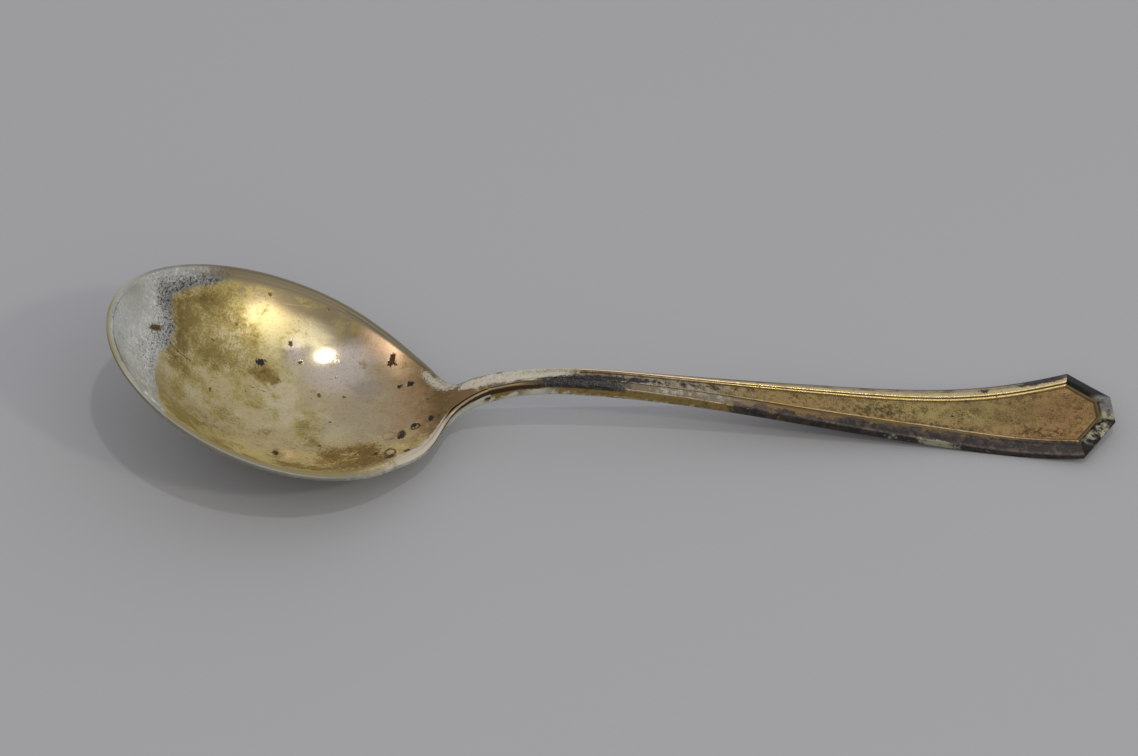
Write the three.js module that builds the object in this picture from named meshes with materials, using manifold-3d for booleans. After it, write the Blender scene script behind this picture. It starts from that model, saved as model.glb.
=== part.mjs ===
// A soup spoon in plated nickel silver, lying bowl up on a table.
// X runs from the tip of the bowl to the end of the handle, Y across, Z up, in millimetres.
// The bowl's heel ends in a tab that laps onto the stem, and the stem's drop carries it from below.

import * as THREE from 'three';
import { mergeVertices } from 'three/addons/utils/BufferGeometryUtils.js';
import Module from 'manifold-3d';

// Whole spoon
const LENGTH = 182.8; // tip of the bowl to end of the handle, along the table
const REST_FLAT = 0.08; // how much metal is worn off where the spoon touches the table

// Bowl
const BOWL_LENGTH = 62.4; // along the rim, tip to heel
const BOWL_WIDTH = 49;
const BOWL_DEPTH = 12.5; // inside, square to the rim
const BOWL_GAUGE = 1.4; // metal at the bottom
const BOWL_FULLNESS = 2.2; // 2 gives parabolic sections, more gives fuller ones
const RIM_PITCH = THREE.MathUtils.degToRad(19.4); // the tip stands higher than the heel
const RIM_DIP = 1.05; // how far the rim's sides hang below a straight line from tip to heel
const RIM_LAND = 1.2; // width of the flat ground edge
const RIM_EDGE = 0.8; // height of the outer edge below the land

// Shoulders and neck
const SHOULDER_LENGTH = 16.2; // from the end of the oval to the slim neck
const SHOULDER_FLARE = 8.3; // extra half width where the shoulder turns hollow
const NECK_WIDTH = 3.8;
const NECK_THICKNESS = 3.8;

// Lapped joint under the heel
const TAB_REACH = 1.8; // the tab runs this far past the shoulders
const TAB_GAUGE = 1.1;
const LAP_CLEARANCE = 0.15; // between the solder and each face
const SOLDER_FILM = 0.3;
const SOLDER_INSET = 0.25; // the film stops this far inside the outline of the drop
const DROP_LENGTH = 11.5; // from the tab's end to the round tip under the bowl
const DROP_WIDTH = 7.4;
const DROP_TIP_GAUGE = 0.6;

// Stem and handle, in side view
const CROWN_REACH = 21; // from the bowl's heel to the top of the arch
const CROWN_HEIGHT = 13.3;
const CROWN_RUN = 18; // how long the arch stays level
const REST_FROM_END = 19.8; // the handle touches the table this far before its end
const REST_RUN = 22;
const END_HEIGHT = 4.4; // upper face at the end of the handle
const STEM_THICKNESS = 2.7;
const HANDLE_THICKNESS = 2;
const END_THICKNESS = 1.5;

// Handle, in plan
const QUARTER_WIDTH = 5.5; // a quarter of the way from the crown of the arch to the corners
const HALFWAY_WIDTH = 9.2;
const THREE_QUARTER_WIDTH = 13.5;
const HANDLE_WIDTH = 20.7; // across the corners
const CLIP_LENGTH = 6.6; // the clipped corners, along the handle
const END_EDGE = 6.1; // the short edge between them

// Moulded border of the handle
const BORDER_NECK = 1.25;
const BORDER_WIDTH = 3.6;
const END_BORDER = 3.2;
const BEVEL_DROP = 0.6;
const BEAD_RISE = 0.1;
const GROOVE_DEPTH = 0.3;
const PANEL_SINK = 0.3;
const BACK_ROUND_NECK = 0.9; // rounding of the back's edges
const BACK_ROUND_END = 0.35;

// Mesh
const BOWL_STATIONS = 22;
const SHOULDER_STATIONS = 14;
const ACROSS = 28;
const NOSE_STATIONS = 6;
const HANDLE_STATIONS = 48;

const wasm = await Module();
wasm.setup();
const { lerp, smoothstep } = THREE.MathUtils;

const bowlRun = BOWL_LENGTH * Math.cos(RIM_PITCH);
const lap = SOLDER_FILM + 2 * LAP_CLEARANCE;
const shoulderX = bowlRun - 0.555 * SHOULDER_LENGTH;
const neckX = bowlRun + 0.445 * SHOULDER_LENGTH;
const seamX = neckX + TAB_REACH;
const dropX = seamX - DROP_LENGTH;
const crownX = bowlRun + CROWN_REACH;
const restX = LENGTH - REST_FROM_END;
const cornerX = LENGTH - CLIP_LENGTH;
const neckHalf = NECK_WIDTH / 2;

// A smooth curve through [x, value] points, used for heights and widths along the spoon
function graph(points) {
  const chord = points.slice(1).map((p, i) => (p[1] - points[i][1]) / (p[0] - points[i][0]));
  const slope = points.map((p, i) => {
    if (i === 0) return chord[0];
    if (i === chord.length) return chord[i - 1];
    const before = p[0] - points[i - 1][0];
    const after = points[i + 1][0] - p[0];
    return (chord[i - 1] * after + chord[i] * before) / (before + after);
  });
  return (x) => {
    let i = 0;
    while (i < chord.length - 1 && x > points[i + 1][0]) i += 1;
    const run = points[i + 1][0] - points[i][0];
    const t = THREE.MathUtils.clamp((x - points[i][0]) / run, 0, 1);
    const rise = points[i + 1][1] - points[i][1];
    const a = slope[i] * run - rise;
    const b = rise - slope[i + 1] * run;
    return points[i][1] + rise * t + t * (1 - t) * (a * (1 - t) + b * t);
  };
}

// Bowl in side view: depth below the straight rim line at a distance along it, then tilted onto the table
const roundness = (u) => 1 - Math.abs(2 * u - 1) ** BOWL_FULLNESS;
const insideDepth = (u) => BOWL_DEPTH * roundness(u);
const outsideDepth = (u) => RIM_EDGE + (BOWL_DEPTH + BOWL_GAUGE - RIM_EDGE) * roundness(u);
const tilt = (along, depth) => [
  along * Math.cos(RIM_PITCH) - depth * Math.sin(RIM_PITCH),
  -along * Math.sin(RIM_PITCH) - depth * Math.cos(RIM_PITCH),
];
const shares = (count, last) => Array.from({ length: count + 1 }, (_, i) => (last * i) / count);
const lowest = Math.min(...shares(200, 0.9).map((u) => tilt(BOWL_LENGTH * u, outsideDepth(u))[1]));
const tipZ = -lowest - REST_FLAT;
const heelZ = tipZ - BOWL_LENGTH * Math.sin(RIM_PITCH);
const onTable = ([x, z]) => [x, z + tipZ];
const towardCrown = (share) => lerp(heelZ, CROWN_HEIGHT, share);

// Upper line of the neck, the arched stem and the handle
const restTop = HANDLE_THICKNESS - REST_FLAT;
const stemCurve = new THREE.CubicBezierCurve(
  new THREE.Vector2(crownX, CROWN_HEIGHT),
  new THREE.Vector2(crownX + CROWN_RUN, CROWN_HEIGHT),
  new THREE.Vector2(restX - REST_RUN, restTop),
  new THREE.Vector2(restX, restTop),
);
const endCurve = new THREE.QuadraticBezierCurve(
  new THREE.Vector2(restX, restTop),
  new THREE.Vector2(restX + REST_FROM_END / 2, restTop),
  new THREE.Vector2(LENGTH, END_HEIGHT),
);
const handlePoints = [...stemCurve.getPoints(10), ...endCurve.getPoints(5).slice(1)].map((p) => [p.x, p.y]);
const neckPoints = [
  [neckX, towardCrown(0.62)],
  [lerp(neckX, crownX, 0.4), towardCrown(0.87)],
];

// Middle line of the bowl's inside, which runs on as the upper line of the handle
const insideShares = shares(8, 0.86);
const middle = graph([
  ...insideShares.map((u) => onTable(tilt(RIM_LAND + (BOWL_LENGTH - 2 * RIM_LAND) * u, insideDepth(u)))),
  [bowlRun + 0.17 * SHOULDER_LENGTH, towardCrown(0.2)],
  ...neckPoints,
  ...handlePoints,
]);

// Upper edge: the rim, the shoulders and the neck
const rimDip = (u) => RIM_DIP * 4 * u * (1 - u);
const edge = graph([
  ...shares(6, 0.86).map((u) => onTable(tilt(BOWL_LENGTH * u, rimDip(u)))),
  [bowlRun - 0.074 * SHOULDER_LENGTH, towardCrown(0.09)],
  [bowlRun + 0.17 * SHOULDER_LENGTH, towardCrown(0.23)],
  ...neckPoints,
  ...handlePoints,
]);

// Middle line of the bowl's back, which runs on as the underside of the tab
const back = graph([
  ...shares(8, 0.86).map((u) => onTable(tilt(BOWL_LENGTH * u, outsideDepth(u)))),
  [bowlRun + 0.17 * SHOULDER_LENGTH, towardCrown(0.2) - BOWL_GAUGE],
  ...[...neckPoints, ...handlePoints].map(([x, z]) => [x, z - TAB_GAUGE]),
]);

// Half width of the bowl, an oval that runs through hollow shoulders into the neck
const ovalHalf = (x) => {
  const u = (2 * x) / bowlRun - 1;
  return (BOWL_WIDTH / 2) * Math.sqrt(Math.max(0, 1 - u * u));
};
const shoulderHalf = graph([
  [0.98 * shoulderX, ovalHalf(0.98 * shoulderX)],
  [shoulderX, ovalHalf(shoulderX)],
  [bowlRun - 0.074 * SHOULDER_LENGTH, neckHalf + SHOULDER_FLARE],
  [bowlRun + 0.17 * SHOULDER_LENGTH, neckHalf + 0.23 * SHOULDER_FLARE],
  [neckX, neckHalf + 0.04 * SHOULDER_FLARE],
  [lerp(neckX, crownX, 0.35), neckHalf],
  [crownX, neckHalf],
]);
const bowlHalf = (x) => (x < shoulderX ? ovalHalf(x) : shoulderHalf(x));

const widths = [NECK_WIDTH, QUARTER_WIDTH, HALFWAY_WIDTH, THREE_QUARTER_WIDTH, HANDLE_WIDTH];
const flareHalf = graph(widths.map((width, i) => [lerp(crownX, cornerX, i / 4), width / 2]));

// Half width of the handle, less an inset: round drop, neck, then the flare to the corners
const handleHalf = (x, inset = 0) => {
  if (x < neckX) {
    const round = DROP_WIDTH / 2 - inset;
    const u = Math.min(1, (x - dropX - inset) / round);
    const nose = round * Math.sqrt(Math.max(0.02, 1 - (1 - u) ** 2));
    return Math.min(nose, bowlHalf(x) - SOLDER_INSET * smoothstep(neckX - x, 0, TAB_REACH) - inset);
  }
  return (x < crownX ? shoulderHalf(x) : flareHalf(x)) - inset;
};
const noseStations = (inset) => {
  const round = DROP_WIDTH / 2 - inset;
  return shares(NOSE_STATIONS, Math.PI / 2).map((turn) => dropX + inset + round * (1 - Math.cos(turn)));
};

// Underside of the bowl at any point, and of the handle along its middle
const inTab = (x) => smoothstep(x, shoulderX, neckX);
const edgeHeight = (x) => lerp(RIM_EDGE, TAB_GAUGE, inTab(x));
const bowlBack = (x, share) => lerp(back(x), edge(x) - edgeHeight(x), Math.abs(share) ** BOWL_FULLNESS);
const thickness = graph([
  [seamX, NECK_THICKNESS],
  [crownX, NECK_THICKNESS],
  [(crownX + restX) / 2, STEM_THICKNESS],
  [restX, HANDLE_THICKNESS],
  [LENGTH, END_THICKNESS],
]);
const dropGauge = graph([
  [dropX, DROP_TIP_GAUGE],
  [seamX, NECK_THICKNESS - TAB_GAUGE - lap],
]);
const handleBack = (x) => (x < seamX ? back(x) - lap - dropGauge(x) : middle(x) - thickness(x));

// Closes a skin over rings of points; the middle of each end ring is closed by rungs from side to side
function skin(rings, closeStart = true) {
  const count = rings[0].length;
  const corners = [];
  const quad = (a, b, c, d) => corners.push(a, b, c, a, c, d);
  for (let r = 0; r + 1 < rings.length; r += 1) {
    for (let i = 0; i < count; i += 1) {
      const next = (i + 1) % count;
      quad(rings[r][i], rings[r][next], rings[r + 1][next], rings[r + 1][i]);
    }
  }
  const last = rings[rings.length - 1];
  for (let i = 0; i + 1 < count / 2; i += 1) {
    if (closeStart) quad(rings[0][i + 1], rings[0][i], rings[0][count - 1 - i], rings[0][count - 2 - i]);
    quad(last[i], last[i + 1], last[count - 2 - i], last[count - 1 - i]);
  }
  return outward(mergeVertices(new THREE.BufferGeometry().setFromPoints(corners), 1e-4));
}

// Drops faces that shrank to a line and turns all of them to face out
function outward(geometry) {
  const place = geometry.getAttribute('position');
  const corner = (i) => new THREE.Vector3().fromBufferAttribute(place, i);
  const old = geometry.getIndex().array;
  const kept = [];
  let volume = 0;
  for (let i = 0; i < old.length; i += 3) {
    const [a, b, c] = old.slice(i, i + 3);
    if (a === b || b === c || c === a) continue;
    kept.push(a, b, c);
    volume += corner(a).dot(corner(b).cross(corner(c)));
  }
  geometry.setIndex(volume < 0 ? kept.reverse() : kept);
  return geometry;
}

function toSolid(geometry) {
  const vertProperties = new Float32Array(geometry.getAttribute('position').array);
  const triVerts = new Uint32Array(geometry.getIndex().array);
  return new wasm.Manifold(new wasm.Mesh({ numProp: 3, vertProperties, triVerts }));
}

function toGeometry(solid) {
  const mesh = solid.getMesh();
  const geometry = new THREE.BufferGeometry();
  geometry.setAttribute('position', new THREE.BufferAttribute(new Float32Array(mesh.vertProperties), 3));
  geometry.setIndex(new THREE.BufferAttribute(new Uint32Array(mesh.triVerts), 1));
  return geometry;
}

function block(x0, x1, half, z0, z1) {
  const box = new THREE.BoxGeometry(x1 - x0, 2 * half, z1 - z0);
  box.translate((x0 + x1) / 2, 0, (z0 + z1) / 2);
  box.deleteAttribute('normal');
  box.deleteAttribute('uv');
  return toSolid(mergeVertices(box));
}

// Evenly turned shares from one side to the other, close together at the rims
const acrossShares = Array.from({ length: ACROSS + 1 }, (_, i) => Math.cos((Math.PI * i) / ACROSS));

// One station of the bowl: land and inside from the far rim to the near one, then the back
function bowlRing(xOut, xIn) {
  const half = bowlHalf(xOut);
  const inner = xOut < shoulderX ? innerHalf(xIn) : half - landAt(xOut);
  const top = [
    new THREE.Vector3(xOut, half, edge(xOut)),
    ...acrossShares.map((s) => {
      const z = lerp(middle(xIn), edge(xIn), Math.abs(s) ** BOWL_FULLNESS);
      return new THREE.Vector3(xIn, inner * s, z);
    }),
    new THREE.Vector3(xOut, -half, edge(xOut)),
  ];
  const under = top.map((_, i) => {
    const s = -Math.cos((Math.PI * i) / (top.length - 1));
    return new THREE.Vector3(xOut, half * s, bowlBack(xOut, s));
  });
  return [...top, ...under];
}

// The land keeps its width round the oval and narrows with the neck
function innerHalf(x) {
  const u = (x - bowlRun / 2) / (bowlRun / 2 - RIM_LAND);
  return (BOWL_WIDTH / 2 - RIM_LAND) * Math.sqrt(Math.max(0, 1 - u * u));
}
function landAt(x) {
  return Math.min(RIM_LAND, 0.3 * bowlHalf(x));
}

function makeBowl() {
  const rings = [];
  const turn = Math.acos(1 - (2 * shoulderX) / bowlRun);
  for (let i = 0; i < BOWL_STATIONS; i += 1) {
    const c = Math.cos((turn * i) / BOWL_STATIONS);
    rings.push(bowlRing((bowlRun / 2) * (1 - c), bowlRun / 2 - (bowlRun / 2 - RIM_LAND) * c));
  }
  const lag = RIM_LAND * Math.cos(turn);
  for (let i = 0; i <= SHOULDER_STATIONS; i += 1) {
    const x = lerp(shoulderX, seamX, i / SHOULDER_STATIONS);
    rings.push(bowlRing(x, x + lag * (1 - inTab(x))));
  }
  const floor = block(-LENGTH, LENGTH, LENGTH, -LENGTH, 0);
  return toGeometry(toSolid(skin(rings, false)).subtract(floor));
}

// Room that the bowl's heel and the solder take out of the stem
function makeLapRoom() {
  const rings = [];
  const reach = 1.5;
  const over = CROWN_HEIGHT + NECK_THICKNESS;
  for (let i = 0; i <= SHOULDER_STATIONS; i += 1) {
    const x = lerp(dropX - lap, seamX + lap, i / SHOULDER_STATIONS);
    const under = acrossShares.map((s) => {
      return new THREE.Vector3(x, bowlHalf(x) * reach * s, bowlBack(x, s * reach) - lap);
    });
    const above = under.map((p) => new THREE.Vector3(x, p.y, over)).reverse();
    rings.push([...under, ...above]);
  }
  return toSolid(skin(rings));
}

function makeSolder() {
  const rings = [];
  const foot = seamX + LAP_CLEARANCE;
  const ring = (x, standing) => {
    const half = handleHalf(x, SOLDER_INSET);
    const share = half / bowlHalf(x);
    const at = (s, z) => new THREE.Vector3(x, half * s, z);
    const top = acrossShares.map((s) => {
      return at(s, standing ? middle(x) - LAP_CLEARANCE : bowlBack(x, s * share) - LAP_CLEARANCE);
    });
    const under = acrossShares.map((s) => at(s, bowlBack(x, s * share) - LAP_CLEARANCE - SOLDER_FILM));
    return [...top, ...under.reverse()];
  };
  noseStations(SOLDER_INSET).forEach((x) => rings.push(ring(x, false)));
  for (let i = 1; i <= SHOULDER_STATIONS; i += 1) {
    rings.push(ring(lerp(dropX + DROP_WIDTH / 2, foot, i / SHOULDER_STATIONS), false));
  }
  rings.push(ring(foot, true), ring(foot + SOLDER_FILM, true));
  return skin(rings);
}

// Border lines of the handle, from the back round the edge to the sunk panel
const relief = (x) => smoothstep(x, seamX + lap, crownX);
const borderAt = (x) => lerp(BORDER_NECK, BORDER_WIDTH, smoothstep(x, crownX, lerp(crownX, cornerX, 0.85)));
const line = (share, height) => ({
  side: (x) => share * borderAt(x),
  end: share * END_BORDER,
  z: (x) => middle(x) + height * relief(x),
});
const backRound = (x) => {
  const round = lerp(BACK_ROUND_NECK, BACK_ROUND_END, smoothstep(x, crownX, cornerX));
  return x < seamX ? Math.min(round, 0.6 * dropGauge(x)) : round;
};
const backLine = (inset, rise) => ({
  side: (x) => inset * backRound(x),
  end: inset * BACK_ROUND_END,
  z: (x) => handleBack(x) + rise * backRound(x),
});
const borderLines = [
  backLine(1, 0),
  backLine(0.3, 0.3),
  backLine(0, 1),
  line(0, -BEVEL_DROP),
  line(0.48, 0),
  line(0.6, BEAD_RISE),
  line(0.72, 0),
  line(0.78, -GROOVE_DEPTH),
  line(0.84, 0),
  line(0.94, 0),
  line(1, -PANEL_SINK),
];

// One border line as a ring: far side, clipped end, near side
function borderRing({ side, end, z }) {
  const sideY = (x) => Math.max(0.04 * NECK_WIDTH, handleHalf(x) - Math.min(side(x), 0.8 * handleHalf(x)));
  const clip = new THREE.Vector2(HANDLE_WIDTH / 2 - END_EDGE / 2, CLIP_LENGTH).normalize();
  const clipY = (x) => END_EDGE / 2 + ((LENGTH - x) * clip.x - end) / clip.y;
  let low = (restX + crownX) / 2;
  let high = LENGTH;
  for (let i = 0; i < 50; i += 1) {
    const x = (low + high) / 2;
    if (sideY(Math.min(x, cornerX)) < clipY(x)) low = x;
    else high = x;
  }
  const far = noseStations(0).map((x) => [x, sideY(x)]);
  for (let i = 1; i <= HANDLE_STATIONS; i += 1) {
    const t = i / HANDLE_STATIONS;
    const x = lerp(dropX + DROP_WIDTH / 2, low, lerp(t * t, t, 0.5));
    far.push([x, sideY(Math.min(x, cornerX))]);
  }
  const endX = LENGTH - end;
  far.push([(low + endX) / 2, clipY((low + endX) / 2)]);
  far.push([endX, clipY(endX)]);
  const near = far.map(([x, y]) => [x, -y]).reverse();
  return [...far, ...near].map(([x, y]) => new THREE.Vector3(x, y, z(x)));
}

function makeHandle() {
  const floor = block(-LENGTH, LENGTH, LENGTH, -LENGTH, 0);
  const blank = toSolid(skin(borderLines.map(borderRing)));
  return toGeometry(blank.subtract(makeLapRoom()).subtract(floor));
}

const silver = new THREE.MeshStandardMaterial({ color: 0xb9b2a2, roughness: 0.35, metalness: 1 });
const tarnish = new THREE.MeshStandardMaterial({ color: 0x8c7442, roughness: 0.4, metalness: 1 });
const solderGrey = new THREE.MeshStandardMaterial({ color: 0x9a9a94, roughness: 0.5, metalness: 1 });

const spoon = new THREE.Group();
spoon.name = 'soup_spoon';
const pieces = [
  ['bowl', makeBowl(), silver],
  ['handle', makeHandle(), tarnish],
  ['solder', makeSolder(), solderGrey],
];
for (const [name, geometry, material] of pieces) {
  geometry.computeVertexNormals();
  const mesh = new THREE.Mesh(geometry, material);
  mesh.name = name;
  mesh.position.x = -LENGTH / 2;
  spoon.add(mesh);
}

export default spoon;
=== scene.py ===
import math

import bmesh
import bpy
import numpy as np
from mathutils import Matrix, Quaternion, Vector


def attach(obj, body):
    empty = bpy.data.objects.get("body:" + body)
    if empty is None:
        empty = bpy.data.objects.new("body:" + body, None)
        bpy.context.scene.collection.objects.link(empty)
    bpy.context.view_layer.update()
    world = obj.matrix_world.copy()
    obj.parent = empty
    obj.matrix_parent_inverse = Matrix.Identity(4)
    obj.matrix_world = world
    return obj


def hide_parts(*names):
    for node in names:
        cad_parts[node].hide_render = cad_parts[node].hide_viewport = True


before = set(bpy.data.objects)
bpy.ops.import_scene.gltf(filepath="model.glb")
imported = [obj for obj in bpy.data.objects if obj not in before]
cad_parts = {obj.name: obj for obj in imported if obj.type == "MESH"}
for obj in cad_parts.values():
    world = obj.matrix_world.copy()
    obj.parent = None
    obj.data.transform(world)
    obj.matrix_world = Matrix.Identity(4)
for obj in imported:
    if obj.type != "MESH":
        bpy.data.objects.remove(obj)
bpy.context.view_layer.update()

mm = 0.001
scene = bpy.context.scene
scene.view_settings.view_transform = "Standard"
print("frame loaded:", sorted(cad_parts))

# sizes in millimetres, x from the tip of the bowl, as in the solid model
spoonForm = {"length": 182.8}

bowlForm = {
    "length": 62.4, "width": 48.98, "depth": 12.5, "gauge": 1.4, "fullness": 2.2,
    "pitch": math.radians(19.4), "dip": 1.05, "land": 1.2, "edge": 0.8, "worn": 0.08,
    "landShare": 0.3, "tipScale": 0.3,  # most of the half width that the land takes, its scale at the tip
    "ownShare": 0.86,  # how far along the bowl its own curves hold, before the shoulders
    "stations": 190, "shoulderStations": 66, "insideSteps": 66, "backSteps": 34,
    "backBand": 1.38,  # the back's finish starts here
}

neckForm = {
    "shoulderLength": 16.2, "shoulderFlare": 8.3, "width": 3.8, "thickness": 3.8,
    "tabReach": 1.8, "tabGauge": 1.1, "lap": 0.6, "dropLength": 11.5, "dropWidth": 7.4,
    "dropGauge": 0.6, "inset": 0.25,
    # along the shoulder from the bowl's heel, in shares of its length
    "startAt": -0.555, "bendAt": -0.074, "hollowAt": 0.17, "neckAt": 0.445,
    # heights between heel and crown, in shares
    "bendRise": 0.09, "hollowRise": 0.2, "hollowEdgeRise": 0.23, "neckRise": 0.62, "stemRise": 0.87,
    # shares of the flare that are left
    "hollowFlare": 0.23, "neckFlare": 0.04,
}

handleForm = {
    "crownReach": 21.0, "crownHeight": 13.3, "crownRun": 18.0, "restFromEnd": 19.8,
    "restRun": 22.0, "endHeight": 4.4, "stemThickness": 2.7, "thickness": 2.0,
    "endThickness": 1.5, "widths": (3.8, 5.5, 9.2, 13.5, 20.7), "clip": 6.6, "endEdge": 6.1,
    "borderNeck": 1.25, "border": 3.6, "endBorder": 3.2, "backRoundNeck": 0.9,
    "backRoundEnd": 0.35, "topRound": 0.18, "brow": -0.6, "panelTurn": 7, "borderFullAt": 0.85,
    "noseSteps": 10, "tongueSteps": 14, "stemSteps": 400, "clipSteps": 12, "endSteps": 5,
    "backBand": -1.9,  # the back's finish ends here
}

meshForm = {"joinWithin": 1.5e-6, "creaseFrom": math.radians(48)}


def lerp(a, b, t):
    return a + (b - a) * t


def smooth(x, low, high):
    t = min(1.0, max(0.0, (x - low) / (high - low)))
    return t * t * (3 - 2 * t)


def curveThrough(points):
    chord = [(q[1] - p[1]) / (q[0] - p[0]) for p, q in zip(points, points[1:])]
    slope = [chord[0]]
    for i in range(1, len(chord)):
        before = points[i][0] - points[i - 1][0]
        after = points[i + 1][0] - points[i][0]
        slope.append((chord[i - 1] * after + chord[i] * before) / (before + after))
    slope.append(chord[-1])

    def at(x):
        i = 0
        while i < len(chord) - 1 and x > points[i + 1][0]:
            i += 1
        run = points[i + 1][0] - points[i][0]
        t = min(1.0, max(0.0, (x - points[i][0]) / run))
        rise = points[i + 1][1] - points[i][1]
        a = slope[i] * run - rise
        b = rise - slope[i + 1] * run
        return points[i][1] + rise * t + t * (1 - t) * (a * (1 - t) + b * t)

    return at


def bezier(points, count):
    made = []
    for k in range(count + 1):
        row = [Vector(p) for p in points]
        while len(row) > 1:
            row = [a.lerp(b, k / count) for a, b in zip(row, row[1:])]
        made.append(tuple(row[0]))
    return made


# where things are along the spoon
pitch = bowlForm["pitch"]
bowlRun = bowlForm["length"] * math.cos(pitch)
shoulderX = bowlRun + neckForm["startAt"] * neckForm["shoulderLength"]
bendX = bowlRun + neckForm["bendAt"] * neckForm["shoulderLength"]
hollowX = bowlRun + neckForm["hollowAt"] * neckForm["shoulderLength"]
neckX = bowlRun + neckForm["neckAt"] * neckForm["shoulderLength"]
seamX = neckX + neckForm["tabReach"]
wallX = seamX + neckForm["lap"]
dropX = seamX - neckForm["dropLength"]
crownX = bowlRun + handleForm["crownReach"]
restX = spoonForm["length"] - handleForm["restFromEnd"]
cornerX = spoonForm["length"] - handleForm["clip"]
neckHalf = neckForm["width"] / 2


# side view of the bowl, tilted onto the table
def roundness(u):
    return 1 - abs(2 * u - 1) ** bowlForm["fullness"]


def outsideDepth(u):
    full = bowlForm["depth"] + bowlForm["gauge"] - bowlForm["edge"]
    return bowlForm["edge"] + full * roundness(u)


def tilt(along, depth):
    return (along * math.cos(pitch) - depth * math.sin(pitch),
            -along * math.sin(pitch) - depth * math.cos(pitch))


def shares(count, last):
    return [last * k / count for k in range(count + 1)]


lowest = min(tilt(bowlForm["length"] * u, outsideDepth(u))[1] for u in shares(200, 0.9))
tipZ = -lowest - bowlForm["worn"]
heelZ = tipZ - bowlForm["length"] * math.sin(pitch)


def onTable(point):
    return (point[0], point[1] + tipZ)


def towardCrown(share):
    return lerp(heelZ, handleForm["crownHeight"], share)


restTop = handleForm["thickness"] - bowlForm["worn"]
crownHeight = handleForm["crownHeight"]
stemPoints = bezier([(crownX, crownHeight), (crownX + handleForm["crownRun"], crownHeight),
                     (restX - handleForm["restRun"], restTop), (restX, restTop)], 10)
endPoints = bezier([(restX, restTop), (restX + handleForm["restFromEnd"] / 2, restTop),
                    (spoonForm["length"], handleForm["endHeight"])], 5)
upperPoints = stemPoints + endPoints[1:]
neckPoints = [(neckX, towardCrown(neckForm["neckRise"])),
              (lerp(neckX, crownX, 0.4), towardCrown(neckForm["stemRise"]))]
hollowZ = towardCrown(neckForm["hollowRise"])
ownShare = bowlForm["ownShare"]

insideRun = bowlForm["length"] - 2 * bowlForm["land"]
middle = curveThrough(
    [onTable(tilt(bowlForm["land"] + insideRun * u, bowlForm["depth"] * roundness(u)))
     for u in shares(8, ownShare)]
    + [(hollowX, hollowZ)] + neckPoints + upperPoints)
rimEdge = curveThrough(
    [onTable(tilt(bowlForm["length"] * u, bowlForm["dip"] * 4 * u * (1 - u)))
     for u in shares(6, ownShare)]
    + [(bendX, towardCrown(neckForm["bendRise"])),
       (hollowX, towardCrown(neckForm["hollowEdgeRise"]))] + neckPoints + upperPoints)
backLine = curveThrough(
    [onTable(tilt(bowlForm["length"] * u, outsideDepth(u))) for u in shares(8, ownShare)]
    + [(hollowX, hollowZ - bowlForm["gauge"])]
    + [(x, z - neckForm["tabGauge"]) for x, z in neckPoints + upperPoints])


def ovalHalf(x):
    u = 2 * x / bowlRun - 1
    return bowlForm["width"] / 2 * math.sqrt(max(0.0, 1 - u * u))


flare = neckForm["shoulderFlare"]
shoulderHalf = curveThrough([
    (0.98 * shoulderX, ovalHalf(0.98 * shoulderX)), (shoulderX, ovalHalf(shoulderX)),
    (bendX, neckHalf + flare), (hollowX, neckHalf + neckForm["hollowFlare"] * flare),
    (neckX, neckHalf + neckForm["neckFlare"] * flare),
    (lerp(neckX, crownX, 0.35), neckHalf), (crownX, neckHalf)])
flareHalf = curveThrough([(lerp(crownX, cornerX, i / 4), width / 2)
                          for i, width in enumerate(handleForm["widths"])])


def bowlHalf(x):
    return ovalHalf(x) if x < shoulderX else shoulderHalf(x)


def innerHalf(x):
    u = (x - bowlRun / 2) / (bowlRun / 2 - bowlForm["land"])
    return (bowlForm["width"] / 2 - bowlForm["land"]) * math.sqrt(max(0.0, 1 - u * u))


def inTab(x):
    return smooth(x, shoulderX, neckX)


def bowlBack(x, share):
    rim = rimEdge(x) - lerp(bowlForm["edge"], neckForm["tabGauge"], inTab(x))
    return lerp(backLine(x), rim, abs(share) ** bowlForm["fullness"])


def handleHalf(x, inset=0.0):
    if x < neckX:
        radius = neckForm["dropWidth"] / 2 - inset
        u = min(1.0, (x - dropX - inset) / radius)
        nose = radius * math.sqrt(max(0.02, 1 - (1 - u) ** 2))
        side = bowlHalf(x) - neckForm["inset"] * smooth(neckX - x, 0, neckForm["tabReach"])
        return min(nose, side - inset)
    return (shoulderHalf(x) if x < crownX else flareHalf(x)) - inset


thickness = curveThrough([
    (seamX, neckForm["thickness"]), (crownX, neckForm["thickness"]),
    ((crownX + restX) / 2, handleForm["stemThickness"]), (restX, handleForm["thickness"]),
    (spoonForm["length"], handleForm["endThickness"])])
dropGauge = curveThrough([
    (dropX, neckForm["dropGauge"]),
    (seamX, neckForm["thickness"] - neckForm["tabGauge"] - neckForm["lap"])])


def handleBack(x):
    if x < seamX:
        return backLine(x) - neckForm["lap"] - dropGauge(x)
    return middle(x) - thickness(x)


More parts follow.
